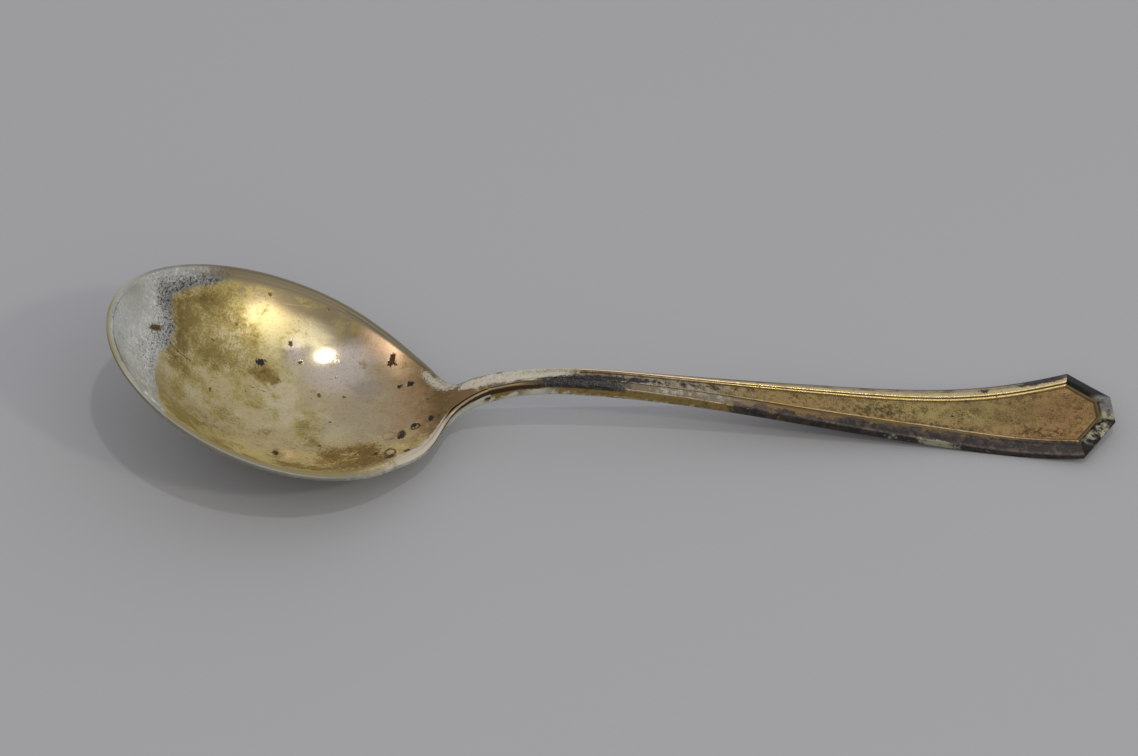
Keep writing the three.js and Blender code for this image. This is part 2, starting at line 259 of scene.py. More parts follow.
# a grid whose points are set one by one and joined where they meet
def moulded(name, columns, rows, place):
    bm = bmesh.new()
    band = bm.verts.layers.float.new("band")
    endward = bm.verts.layers.float.new("endward")
    bmesh.ops.create_grid(bm, x_segments=columns, y_segments=rows, size=1)
    for v in bm.verts:
        i = round((v.co.x + 1) / 2 * columns)
        j = round((v.co.y + 1) / 2 * rows)
        x, y, z, v[band], v[endward] = place(i, j)
        v.co = ((x - spoonForm["length"] / 2) * mm, y * mm, max(z, 0.0) * mm)
    bmesh.ops.remove_doubles(bm, verts=bm.verts, dist=meshForm["joinWithin"])
    bmesh.ops.recalc_face_normals(bm, faces=bm.faces)
    for f in bm.faces:
        f.smooth = True
    for e in bm.edges:
        e.smooth = e.calc_face_angle(0.0) < meshForm["creaseFrom"]
    mesh = bpy.data.meshes.new(name)
    bm.to_mesh(mesh)
    openEdges = sum(1 for e in bm.edges if len(e.link_faces) != 2)
    print(name, "faces:", len(mesh.polygons), "open edges:", openEdges)
    bm.free()
    piece = bpy.data.objects.new(name, mesh)
    scene.collection.objects.link(piece)
    return piece


# bowl: one closed path across, from the middle of the back over the rim to the inside
rimRound = [(0.0, -0.3), (0.05, -0.15), (0.12, -0.05), (0.24, 0.0), (0.45, 0.01),
            (0.62, -0.02), (0.76, -0.08), (0.88, -0.16), (1.0, -0.28)]


def bowlPath():
    path = []
    for k in range(bowlForm["backSteps"] + 1):
        path.append(("back", math.sin(math.pi / 2 * k / bowlForm["backSteps"]), 0.0))
    path += [("edge", 0.3, 0.0), ("edge", 0.65, 0.0)]
    path += [("land", share, drop) for share, drop in rimRound]
    for k in range(1, bowlForm["insideSteps"] + 1):
        path.append(("inside", 1 - k / bowlForm["insideSteps"], 0.0))
    far = [(1, *step) for step in path]
    near = [(-1, *step) for step in reversed(path[:-1])]
    return far + near


def bowlStations():
    rows = []
    turn = math.acos(1 - 2 * shoulderX / bowlRun)
    half = bowlRun / 2
    for i in range(bowlForm["stations"]):
        c = math.cos(turn * i / bowlForm["stations"])
        xIn = half - (half - bowlForm["land"]) * c
        rows.append((half * (1 - c), xIn, innerHalf(xIn)))
    lag = bowlForm["land"] * math.cos(turn)
    first = bowlHalf(shoulderX) - innerHalf(shoulderX + lag)
    for i in range(bowlForm["shoulderStations"] + 1):
        x = lerp(shoulderX, seamX, i / bowlForm["shoulderStations"])
        narrow = min(bowlForm["land"], bowlForm["landShare"] * bowlHalf(x))
        inner = bowlHalf(x) - lerp(first, narrow, inTab(x))
        rows.append((x, x + lag * (1 - inTab(x)), inner))
    return rows


path = bowlPath()
stations = bowlStations()


# the band value: 3 in the middle of the back, 1.8 to 1.4 up the edge, 1 at the inner lip, then to 0
def bowlPoint(i, j):
    if i == len(stations):  # closes the end of the tab
        return seamX, 0.0, (middle(seamX) + backLine(seamX)) / 2, 3.0, 0.0
    xOut, xIn, inner = stations[i]
    side, zone, share, drop = path[j]
    half = bowlHalf(xOut)
    if zone == "back":
        return xOut, side * half * share, bowlBack(xOut, share), 3 - share, 0.0
    top = rimEdge(xOut)
    scale = bowlForm["tipScale"]
    if half > 0:
        scale = min(1.0, bowlForm["landShare"] * half / bowlForm["land"])
    if zone == "edge":
        foot = bowlBack(xOut, 1)
        z = lerp(foot, top + scale * rimRound[0][1], share)
        return xOut, side * half, z, 1.8 - 0.4 * share, 0.0
    if zone == "land":
        y = lerp(half, inner, share)
        z = lerp(top, rimEdge(xIn), share) + scale * drop
        return lerp(xOut, xIn, share), side * y, z, 1.4 - 0.4 * share, 0.0
    z = lerp(middle(xIn), rimEdge(xIn), share ** bowlForm["fullness"])
    return xIn, side * inner * share, z, share, 0.0


bowl = moulded("spoonBowl", len(stations), len(path) - 1, bowlPoint)
print("bowl shaped")

# handle: lines round the outline, from the middle of the back to the middle of the panel
borderProfile = [
    (0.06, -0.525), (0.16, -0.4), (0.3, -0.22), (0.42, -0.07), (0.47, -0.01), (0.5, 0.035),
    (0.54, 0.075), (0.58, 0.098), (0.62, 0.1), (0.66, 0.075), (0.695, 0.03), (0.715, -0.03),
    (0.735, -0.13), (0.755, -0.22), (0.778, -0.27), (0.8, -0.23), (0.82, -0.12), (0.838, -0.03),
    (0.86, 0.02), (0.885, 0.035), (0.91, 0.02), (0.932, -0.03), (0.952, -0.12), (0.972, -0.22),
    (1.0, -0.29),
]


def relief(x):
    return smooth(x, wallX, crownX)


def borderAt(x):
    return lerp(handleForm["borderNeck"], handleForm["border"],
                smooth(x, crownX, lerp(crownX, cornerX, handleForm["borderFullAt"])))


def backRound(x):
    size = lerp(handleForm["backRoundNeck"], handleForm["backRoundEnd"],
                smooth(x, crownX, cornerX))
    return min(size, 0.6 * dropGauge(x)) if x < seamX else size


def outline(side, end):
    # far half of one line round the handle: (x, y, on the lap's floor)
    def sideY(x):
        half = handleHalf(min(x, cornerX))
        return max(0.04 * neckForm["width"], half - min(side(x), 0.8 * half))

    length = spoonForm["length"]
    run = handleForm["widths"][-1] / 2 - handleForm["endEdge"] / 2
    slant = math.hypot(run, handleForm["clip"])

    def clipY(x):
        return handleForm["endEdge"] / 2 + ((length - x) * run - end * slant) / handleForm["clip"]

    # halving finds where the side meets the clip
    low, high = (restX + crownX) / 2, length
    for _ in range(50):
        x = (low + high) / 2
        if sideY(x) < clipY(x):
            low = x
        else:
            high = x
    radius = neckForm["dropWidth"] / 2
    far = []
    for k in range(handleForm["noseSteps"]):
        turn = math.pi / 2 * k / handleForm["noseSteps"]
        far.append((dropX + radius * (1 - math.cos(turn)), True))
    for k in range(handleForm["tongueSteps"] + 1):
        far.append((lerp(dropX + radius, wallX, k / handleForm["tongueSteps"]), True))
    for k in range(handleForm["stemSteps"] + 1):
        t = k / handleForm["stemSteps"]
        far.append((lerp(wallX, low, lerp(t * t, t, 0.75)), False))
    far = [(x, sideY(x), floor) for x, floor in far]
    endX = length - end
    for k in range(handleForm["clipSteps"] + 1):
        x = lerp(low, endX, max(k, 0.04) / handleForm["clipSteps"])
        far.append((x, clipY(x), False))
    for k in range(1, handleForm["endSteps"]):
        far.append((endX, clipY(endX) * (1 - k / handleForm["endSteps"]), False))
    return far


def lapFloor(x, y):
    share = min(1.4, abs(y) / max(0.2, bowlHalf(x)))
    return bowlBack(x, share) - neckForm["lap"]


def wholeLoop(far, height):
    loop = [(x, y, height(x, y, floor)) for x, y, floor in far]
    endX = far[-1][0]
    loop.append((endX, 0.0, height(endX, 0.0, False)))
    return loop + [(x, -y, height(x, -y, floor)) for x, y, floor in reversed(far)]


def towardMiddle(loop, share, height, far):
    turnX = spoonForm["length"] - handleForm["endBorder"] - handleForm["panelTurn"]
    floors = [floor for _, _, floor in far]
    floors = floors + [False] + floors[::-1]
    moved = []
    for (x, y, z), floor in zip(loop, floors):
        x2, y2 = lerp(x, min(x, turnX), share), lerp(y, 0.0, share)
        moved.append((x2, y2, height(x2, y2, floor)))
    return moved


# the band value: -3 in the middle of the back, -1 to 0 up the side, 1 inside the border, 2 in the middle
def handleLines():
    lines = []
    r = handleForm["topRound"]

    def under(x, y, floor):
        return handleBack(x)

    def panel(x, y, floor):
        return lapFloor(x, y) if floor else middle(x) + relief(x) * borderProfile[-1][1]

    far = outline(backRound, handleForm["backRoundEnd"])
    flat = wholeLoop(far, under)
    for share in (1.0, 0.8, 0.6, 0.4, 0.2, 0.08):
        lines.append((towardMiddle(flat, share, under, far), -2 - share))
    for inset, rise in ((1, 0), (0.62, 0.08), (0.3, 0.3), (0.08, 0.62), (0, 1)):
        far = outline(lambda x: inset * backRound(x), inset * handleForm["backRoundEnd"])
        loop = wholeLoop(far, lambda x, y, floor: handleBack(x) + rise * backRound(x))
        lines.append((loop, -1 - inset))

    def top(depth, height):
        def at(x, y, floor):
            drop = r - math.sqrt(r * r - (r - min(depth, r)) ** 2)
            z = lapFloor(x, y) if floor else middle(x) + height * relief(x)
            return z - drop
        return at

    far = outline(lambda x: 0.0, 0.0)
    foot = wholeLoop(far, lambda x, y, floor: handleBack(x) + backRound(x))
    brow = wholeLoop(far, top(0.0, handleForm["brow"]))
    for share in (0.3, 0.7):
        side = [(a[0], a[1], lerp(a[2], b[2], share)) for a, b in zip(foot, brow)]
        lines.append((side, share - 1))
    for depth in (0.0, 0.08 * r, 0.29 * r, 0.6 * r):
        far = outline(lambda x: depth, depth)
        lines.append((wholeLoop(far, top(depth, handleForm["brow"])), 0.0))
    for share, height in borderProfile:
        far = outline(lambda x: share * borderAt(x), share * handleForm["endBorder"])
        loop = wholeLoop(far, top(r, height))
        lines.append((loop, share))
    for share in (0.03, 0.1, 0.2, 0.35, 0.5, 0.65, 0.82, 1.0):
        lines.append((towardMiddle(loop, share, panel, far), 1 + share))
    return lines


lines = handleLines()
around = len(lines[0][0])
sideSteps = handleForm["noseSteps"] + handleForm["tongueSteps"] + handleForm["stemSteps"] + 2


def handlePoint(i, j):
    loop, band = lines[j]
    i %= around
    return (*loop[i], band, float(sideSteps <= i < around - sideSteps))


handle = moulded("spoonHandle", around, len(lines) - 1, handlePoint)
print("handle shaped")

# solder: a film in the lap and a narrow strip that fills the seam on top
solderForm = {"seat": 0.02, "inset": 0.06, "acrossSteps": 16, "alongSteps": 24, "noseSteps": 8}


def solderRings():
    rings = []
    radius = neckForm["dropWidth"] / 2 - solderForm["inset"]
    nose = solderForm["noseSteps"]
    xs = [dropX + solderForm["inset"] + radius * (1 - math.cos(math.pi / 2 * k / nose))
          for k in range(nose)]
    last = seamX - solderForm["seat"]
    xs += [lerp(dropX + neckForm["dropWidth"] / 2, last, k / solderForm["alongSteps"])
           for k in range(solderForm["alongSteps"] + 1)]
    across = [math.cos(math.pi * k / solderForm["acrossSteps"])
              for k in range(solderForm["acrossSteps"] + 1)]

    def ring(x, standing):
        half = handleHalf(x, solderForm["inset"])
        share = half / bowlHalf(x)
        over, below = [], []
        for s in across:
            back = bowlBack(x, s * share)
            up = middle(x) if standing else back + solderForm["seat"]
            over.append((x, half * s, up))
            below.append((x, half * s, back - neckForm["lap"] - solderForm["seat"]))
        return over + below[::-1]

    for x in xs:
        rings.append(ring(x, False))
    rings += [ring(last, True), ring(wallX + solderForm["seat"], True)]

    def closed(points):
        mean = [sum(p[k] for p in points) / len(points) for k in range(3)]
        return [tuple(mean)] * len(points)

    return [closed(rings[0])] + rings + [closed(rings[-1])]


rings = solderRings()
solder = moulded("spoonSolder", len(rings) - 1, len(rings[0]),
                 lambda i, j: (*rings[i][j % len(rings[0])], 0.5, 0.0))
print("solder shaped")


# stain maps, kept on the meshes as plain values
def meshPoints(piece):
    flat = np.empty(len(piece.data.vertices) * 3)
    piece.data.vertices.foreach_get("co", flat)
    return flat.reshape(-1, 3).T / mm


def keepField(piece, name, values):
    layer = piece.data.attributes.new(name, "FLOAT", "POINT")
    layer.data.foreach_set("value", np.asarray(values, dtype=np.float32))


farAway = -9.0  # outside every spot


def ovalDistance(x, y, oval):
    cx, cy, halfLong, halfWide, turn = oval
    c, s = math.cos(math.radians(turn)), math.sin(math.radians(turn))
    along, across = c * (x - cx) + s * (y - cy), c * (y - cy) - s * (x - cx)
    return np.hypot(along / halfLong, across / halfWide)


def clouds(x, y, places):
    # soft blotches that build up: x, y, half length, half width, turn, amount
    clear = np.ones_like(x)
    for *oval, amount in places:
        clear *= 1 - amount * np.exp(-ovalDistance(x, y, oval) ** 2)
    return 1 - clear


def spots(x, y, places, line=None):
    # millimetres inside the nearest edge, or inside a line along it
    deepest = np.full_like(x, farAway)
    for oval in places:
        inside = (1 - ovalDistance(x, y, oval)) * min(oval[2], oval[3])
        deepest = np.maximum(deepest, inside if line is None else line - np.abs(inside))
    return deepest


def streaks(x, y, places):
    # thin lines: x, y at both ends, half width
    deepest = np.full_like(x, farAway)
    for x0, y0, x1, y1, half in places:
        along = (x - x0) * (x1 - x0) + (y - y0) * (y1 - y0)
        run = np.clip(along / ((x1 - x0) ** 2 + (y1 - y0) ** 2), 0, 1)
        away = np.hypot(x - lerp(x0, x1, run), y - lerp(y0, y1, run))
        deepest = np.maximum(deepest, half - away)
    return deepest


# places in the bowl, in millimetres from the middle of the spoon
ringLines = {"rings": 0.16, "faintRings": 0.1}
bowlStains = {
    "frostEdge": [(-25, -81.2), (-17.3, -81.6), (-11.7, -81.9), (-7.2, -82.4), (-3.8, -82.7),
                  (-0.7, -82.6), (3.0, -82.1), (5.8, -80.9), (8.7, -79.6), (11.1, -79.0), (12.8, -79.4),
                  (15.4, -79.2), (17.5, -77.0), (19.4, -73.4), (21.8, -68.9), (24.5, -65.0)],
    "olive": [(-76.5, 13, 4.2, 5.0, 0, 1.0), (-72.5, 17.5, 6.0, 3.0, 22, 0.95),
              (-71, 10, 7.0, 4.2, 5, 0.97), (-68, 20.5, 4.0, 2.0, 20, 0.6),
              (-65, 14.5, 4.5, 2.6, 10, 0.65), (-62.5, 9.6, 3.6, 2.3, -5, 0.97),
              (-78.5, 5.0, 3.6, 3.0, 0, 0.85), (-70.5, -1.8, 3.6, 2.6, -20, 0.8),
              (-68, -4.2, 2.6, 2.0, -40, 0.6), (-79, -1, 3.0, 4.0, 0, 0.65),
              (-78, -9, 4.8, 4.5, -10, 1.0), (-72.5, -13.5, 4.5, 4.0, -35, 0.85),
              (-55.5, -1.5, 2.8, 4.0, -15, 0.72), (-54.5, -5.3, 2.2, 1.6, -30, 0.75),
              (-48.5, 17, 1.5, 2.4, -15, 0.6), (-69, -18.5, 8.0, 3.0, 0, 0.65),
              (-62, 1.6, 3.0, 1.3, -15, 0.5), (-67, 3.5, 6.0, 2.2, 10, 0.5),
              (-57, 21.8, 8.0, 1.0, -8, 0.35), (-47.5, -6.5, 3.0, 1.5, 0, 0.45),
              (-60, -16.5, 3.5, 2.5, 0, 0.55), (-74.5, 3.0, 4.0, 2.0, 0, 0.45),
              (-68.8, 16.6, 2.6, 1.8, 10, 0.7)],
    "dense": [(-77.6, 10.5, 1.8, 5.5, 0, 0.85), (-62.6, 9.0, 2.6, 1.5, -10, 1.0),
              (-61.0, 8.2, 1.6, 0.9, -10, 0.9), (-73.5, 17.5, 4.5, 1.5, 25, 0.7),
              (-78.0, -10.5, 3.0, 3.2, 0, 0.6), (-71, -15.5, 2.0, 3.5, -10, 0.75),
              (-74.5, -8, 2.0, 3.0, -20, 0.55), (-55, -4.8, 1.6, 1.0, -30, 0.55),
              (-70, -2.5, 2.0, 1.2, -30, 0.4), (-72, 8.5, 3.0, 2.0, 0, 0.4),
              (-80, 6.0, 1.6, 1.4, 0, 0.6)],
    "brown": [(-51.6, -10.5, 2.2, 3.2, 0, 0.8), (-45, -10.5, 2.4, 3.2, 0, 1.0),
              (-47, -14.5, 5.0, 2.4, 10, 0.85), (-59.5, -16, 3.5, 2.6, 0, 0.55),
              (-52, -18, 8.0, 3.0, 0, 0.7), (-61.4, 8.4, 2.4, 1.2, -10, 0.5),
              (-48, -9, 4.0, 2.0, 0, 0.6), (-42, -14.5, 3.0, 3.0, 0, 0.6)],
    "lilac": [(-50, 9.6, 6.0, 4.0, -20, 0.9), (-46, 12.5, 4.0, 3.0, -30, 0.8),
              (-57, 13.8, 1.8, 2.2, 0, 0.8)],
    "slate": [(-44, 6.6, 4.0, 3.0, -20, 0.6), (-57.3, 14.2, 1.0, 1.6, -20, 0.5),
              (-62.2, -2.5, 2.0, 1.6, 0, 0.3)],
    # far wall: painted shade where the wall reflects a dim surround
    "farWallShade": [(-50, 20.5, 9.0, 3.0, -22, 1.0), (-57, 21.5, 7.0, 2.0, -8, 0.9),
                (-44.5, 17.0, 5.0, 2.6, -35, 0.7), (-47, 15.5, 2.5, 2.5, 0, 0.5),
                (-66.5, 20.8, 5.0, 2.0, 6, 0.9), (-73, 20.2, 4.0, 1.6, 20, 0.5)],
    # peach: a painted highlight glow over copper-toned tarnish
    "peachTintAndGlint": [(-40.9, 14.3, 4.6, 3.0, -45, 1.0), (-59.2, -10.8, 1.6, 2.4, 0, 0.9),
              (-38.5, 9.5, 2.5, 2.0, -45, 0.5)],
    "haze": [(-61.6, 16.8, 6.0, 3.0, -18, 1.0)],
    "soot": [(-39.4, 11.3, 0.55, 1.0, -12), (-39.8, 10.6, 0.6, 0.5, 0), (-38.9, 10.4, 0.35, 0.25, 0),
             (-61.5, -10.9, 0.55, 1.0, 0), (-38.2, -11.4, 0.8, 0.45, 30), (-41.5, -13.3, 0.9, 0.6, 20),
             (-43.7, -11.0, 0.35, 0.5, 0)],
    "ink": [(-63.2, 11.0, 0.75, 0.55, 0), (-62.4, 11.4, 0.4, 0.3, 0), (-38.3, 6.0, 0.5, 0.38, 20),
            (-36.4, 6.2, 0.62, 0.55, 25), (-38.9, -6.0, 0.42, 0.8, -25), (-36.4, -3.7, 0.5, 0.5, -30),
            (-33.4, -3.0, 0.45, 0.7, -10)],
    "pits": [(-82.3, 8.8, 1.5, 0.45, 38), (-61.3, 21.3, 0.3, 0.25, 0), (-55.9, 11.9, 0.5, 0.32, 0),
             (-50.6, 20.0, 0.28, 0.22, 0), (-48.3, 5.3, 0.4, 0.26, -20), (-52.8, 5.9, 0.34, 0.48, 20),
             (-71.8, 12.3, 0.3, 0.22, 0), (-67.5, 16.0, 0.28, 0.2, 0), (-47.2, 18.2, 0.22, 0.2, 0),
             (-57.6, 14.9, 0.4, 0.5, -20), (-66.0, 4.7, 0.28, 0.2, 0), (-72.6, 2.8, 0.25, 0.45, -20),
             (-51.1, -0.3, 0.26, 0.22, 0), (-33.7, 2.1, 0.28, 0.26, 0), (-49.6, 9.3, 0.25, 0.2, 0),
             (-32.0, -2.9, 0.25, 0.45, -20), (-53.4, -6.8, 0.3, 0.3, 0), (-47.4, -10.5, 0.3, 0.4, 0)],
    "rings": [(-41.2, -11.3, 0.85, 1.3, -8), (-36.2, -4.1, 0.75, 0.6, 30),
              (-38.8, -5.8, 0.6, 0.95, -20)],
    "faintRings": [(-41.0, -5.6, 1.1, 1.2, 0), (-62.7, -4.2, 0.5, 0.7, 0), (-49.2, 12.1, 0.4, 0.35, 0)],
    "scratches": [(-79.8, 8.1, -78.3, 7.4, 0.13), (-78.3, 7.4, -75.8, 6.9, 0.12),
                  (-79.0, 6.9, -78.6, 5.6, 0.1), (-65.0, 6.0, -61.5, 5.4, 0.1)],
    "crust": [(-33.3, 6.7, 1.5, 0.6, -58), (-32.1, 5.0, 1.5, 0.8, -52), (-30.8, 3.5, 1.4, 0.7, -42),
              (-29.6, 2.8, 1.2, 0.5, -30)],
}


def mapBowl():
    x, y, _ = meshPoints(bowl)
    edge = curveThrough(bowlStains["frostEdge"])
    keepField(bowl, "frost", [edge(v) for v in y] - x)
    for name in ("olive", "dense", "brown", "lilac", "slate", "farWallShade", "peachTintAndGlint", "haze"):
        keepField(bowl, name, clouds(x, y, bowlStains[name]))
    for name in ("soot", "ink", "pits", "crust"):
        keepField(bowl, name, spots(x, y, bowlStains[name]))
    for name, line in ringLines.items():
        keepField(bowl, name, spots(x, y, bowlStains[name], line))
    keepField(bowl, "scratches", streaks(x, y, bowlStains["scratches"]))
    keepField(bowl, "neckCrust", clouds(x, y, handleStains["neckCrust"]))


# places along the handle, in millimetres from the middle of the spoon
handleStains = {
    "neckCrust": [(-26.4, 1.5, 2.2, 1.1, -14, 1.0), (-23.5, 0.7, 3.2, 1.4, 0, 1.0),
                  (-17, 0.5, 5.0, 1.9, 0, 1.0), (-11.5, 0.9, 4.0, 1.2, 8, 1.0)],
    "charcoal": [(-8.5, -0.7, 3.0, 0.7, 0, 1.0), (-3.0, -0.3, 6.0, 0.85, 2, 1.0),
                 (4.0, -0.1, 4.0, 0.8, 2, 0.75), (-11.5, -1.6, 3.6, 0.7, 0, 1.0),
                 (-8.0, -1.65, 5.0, 0.75, 0, 1.0), (-3.0, -1.8, 5.0, 0.75, -2, 1.0),
                 (12.0, 0.2, 5.0, 0.7, 2, 0.6), (20.0, 0.4, 5.0, 0.6, 2, 0.5)],
    "blueGrey": [(9.0, -2.0, 4.0, 0.6, 0, 0.75), (14.0, -1.7, 4.0, 0.6, 0, 0.65),
                 (19, -2.3, 3.5, 0.6, 0, 0.6), (24.5, -0.3, 1.2, 0.6, 0, 0.4),
                 (4.0, 0.0, 5.0, 0.4, 0, 0.3)],
    "dark": [(24, -3.4, 4.0, 0.6, -8, 0.75), (30, -3.6, 4.5, 0.7, -8, 0.8),
             (37, -4.7, 4.0, 0.75, -8, 0.9), (43, -4.7, 4.0, 1.1, -8, 0.95),
             (50, -5.3, 5.0, 1.2, -8, 1.0), (58, -6.0, 6.0, 1.3, -8, 1.0),
             (66, -6.7, 6.0, 1.5, -10, 1.0), (75, -7.5, 6.5, 1.9, -10, 1.0),
             (82, -8.4, 5.0, 2.1, -10, 1.0), (80, 8.6, 5.0, 0.8, 12, 0.95),
             (44, -3.9, 2.0, 0.4, -8, 0.5), (52, -4.4, 2.6, 0.4, -8, 0.5)],
    "olive": [(54, 0.5, 13.0, 3.0, 0, 0.8), (66, 1.5, 7.0, 3.0, 0, 0.9), (20, -0.5, 5.0, 1.5, 0, 0.5)],
    # shade: painted shade patches on the panel and border
    "shade": [(50, 0.2, 7.0, 1.8, 0, 0.7), (78, -4.0, 5.0, 1.6, -6, 0.8),
              (84.5, -1.0, 2.0, 5.0, 0, 0.5), (60, -3.2, 8.0, 1.2, -6, 0.7),
              (45, -1.6, 8.0, 1.2, -4, 0.6), (34, 0.6, 6.0, 0.8, 4, 0.5), (76, 4.5, 4.0, 1.2, 8, 0.5),
              (26, 1.0, 5.0, 0.6, 4, 0.5)],
    "orange": [(83, 0.0, 6.0, 7.5, 0, 1.0), (76, -5.0, 6.0, 1.6, -10, 0.8)],
    "paleGreen": [(58.3, -6.75, 4.0, 0.5, -8, 1.0), (50, -5.9, 2.0, 0.3, -6, 0.7),
                  (61, -7.1, 3.0, 0.25, -8, 0.6), (70, -8.2, 5.0, 0.2, -9, 0.5)],
    "soot": [(68.8, 6.35, 0.95, 0.65, 12), (61.9, -0.2, 0.4, 0.4, 0), (12.5, 3.0, 0.6, 0.2, 0)],
}


def mapHandle():
    x, y, _ = meshPoints(handle)
    for name, places in handleStains.items():
        keepField(handle, name, spots(x, y, places) if name == "soot" else clouds(x, y, places))


def mapSolder():
    x, y, z = meshPoints(solder)
    keepField(solder, "neckCrust", clouds(x, y, handleStains["neckCrust"]))
    keepField(solder, "below", [middle(a + spoonForm["length"] / 2) - b for a, b in zip(x, z)])


mapBowl()
mapHandle()
mapSolder()
print("stains mapped")


# node helpers
def addNode(tree, kind, inputs=None, **settings):
    made = tree.nodes.new(kind)
    for name, value in settings.items():
        setattr(made, name, value)
    for key, value in (inputs or {}).items():
        if isinstance(value, bpy.types.NodeSocket):
            tree.links.new(value, made.inputs[key])
        else:
            made.inputs[key].default_value = value
    return made


def maths(tree, operation, a, b=0.0):
    return addNode(tree, "ShaderNodeMath", {0: a, 1: b}, operation=operation).outputs[0]


def remap(tree, value, low, high, toLow=0.0, toHigh=1.0):
    made = addNode(tree, "ShaderNodeMapRange",
                   {"Value": value, "From Min": low, "From Max": high, "To Min": toLow, "To Max": toHigh},
                   interpolation_type="SMOOTHSTEP")
    return made.outputs["Result"]


def mixColour(tree, mask, below, above):
    return addNode(tree, "ShaderNodeMix", {0: mask, 6: below, 7: above}, data_type="RGBA").outputs[2]


def mixValue(tree, mask, below, above):
    return addNode(tree, "ShaderNodeMix", {0: mask, 2: below, 3: above}, data_type="FLOAT").outputs[0]


def newGroup(name, ins, outs):
    group = bpy.data.node_groups.new(name, "ShaderNodeTree")
    for label, kind, value in ins:
        socket = group.interface.new_socket(label, in_out="INPUT", socket_type="NodeSocket" + kind)
        socket.default_value = value
    for label, kind in outs:
        group.interface.new_socket(label, in_out="OUTPUT", socket_type="NodeSocket" + kind)
    return group, group.nodes.new("NodeGroupInput").outputs, group.nodes.new("NodeGroupOutput").inputs


def useGroup(tree, group, inputs):
    return addNode(tree, "ShaderNodeGroup", inputs, node_tree=group).outputs


# a stain: a map on the mesh, moved by noise and cut between two levels
def makeStainGroup():
    group, ins, outs = newGroup("stain", [
        ("Map", "Float", 0.0), ("Noise", "Float", 0.5), ("Wander", "Float", 0.5),
        ("Low", "Float", 0.3), ("High", "Float", 0.6)], [("Mask", "Float")])
    wander = maths(group, "MULTIPLY", maths(group, "SUBTRACT", ins["Noise"], 0.5), ins["Wander"])
    mask = remap(group, maths(group, "ADD", ins["Map"], wander), ins["Low"], ins["High"])
    group.links.new(mask, outs["Mask"])
    return group


# noises: size in millimetres, detail, roughness, warp, and the levels that become 0 and 1
groundForm = {
    "Clouds": (9.0, 5, 0.6, 0.6, 0.3, 0.7), "Ragged": (3.0, 7, 0.7, 0.3, 0.25, 0.75),
    "Fine": (1.1, 5, 0.72, 0.0, 0.28, 0.72), "Grain": (0.42, 3, 0.65, 0.0, 0.3, 0.7),
    "Dust": (0.22, 2, 0.6, 0.0, 0.3, 0.7),
}


# shared ground: the place in millimetres and the noises that break up the stains
def makeGroundGroup():
    labels = [*groundForm, "Specks", "Scratches"]
    group, ins, outs = newGroup("ground", [("Seed", "Float", 0.0)],
                                [("Point", "Vector")] + [(label, "Float") for label in labels])
    place = addNode(group, "ShaderNodeTexCoord").outputs["Object"]
    point = addNode(group, "ShaderNodeVectorMath", {0: place, 3: 1 / mm}, operation="SCALE").outputs[0]
    apart = addNode(group, "ShaderNodeCombineXYZ", {"X": ins["Seed"], "Y": ins["Seed"]}).outputs[0]
    moved = addNode(group, "ShaderNodeVectorMath", {0: point, 1: apart}, operation="ADD").outputs[0]

    def noise(size, detail, rough, warp, low, high):
        made = addNode(group, "ShaderNodeTexNoise", {
            "Vector": moved, "Scale": 1 / size, "Detail": detail, "Roughness": rough, "Distortion": warp})
        return remap(group, made.outputs["Fac"], low, high)

    cells = addNode(group, "ShaderNodeTexVoronoi", {"Vector": moved, "Scale": 1.0, "Randomness": 1.0})
    dots = remap(group, cells.outputs["Distance"], 0.2, 0.1)
    chance = addNode(group, "ShaderNodeSeparateColor", {0: cells.outputs["Color"]}).outputs[0]
    specks = maths(group, "MULTIPLY", dots, remap(group, chance, 0.7, 0.8))
    streak = addNode(group, "ShaderNodeMapping", {
        "Vector": moved, "Rotation": (0, 0, 0.55), "Scale": (0.1, 3.0, 1.0)}).outputs[0]
    hairs = addNode(group, "ShaderNodeTexNoise", {
        "Vector": streak, "Scale": 1.0, "Detail": 2, "Roughness": 0.5}).outputs["Fac"]
    made = {label: noise(*form) for label, form in groundForm.items()}
    made.update({"Point": point, "Specks": specks, "Scratches": remap(group, hairs, 0.6, 0.7)})
    for label, socket in made.items():
        group.links.new(socket, outs[label])
    return group


stainGroup = makeStainGroup()
groundGroup = makeGroundGroup()


# what each finish starts from; grain is the height of its fine grain in millimetres
finishForm = {
    "bowlInside": {"seed": 0.0, "rough": 0.28, "metal": 1.0, "shine": 0.2, "grain": 0.0012},
    "bowlBack": {"seed": 37.0, "rough": 0.3, "metal": 1.0, "shine": 0.5, "grain": 0.004},
    "handleFace": {"seed": 11.0, "rough": 0.36, "metal": 0.96, "shine": 0.5, "grain": 0.005},
    "handleBack": {"seed": 53.0, "rough": 0.38, "metal": 0.96, "shine": 0.5, "grain": 0.005},
    "solderGrey": {"seed": 11.0, "rough": 0.45, "metal": 0.9, "shine": 0.5, "grain": 0.005},
}


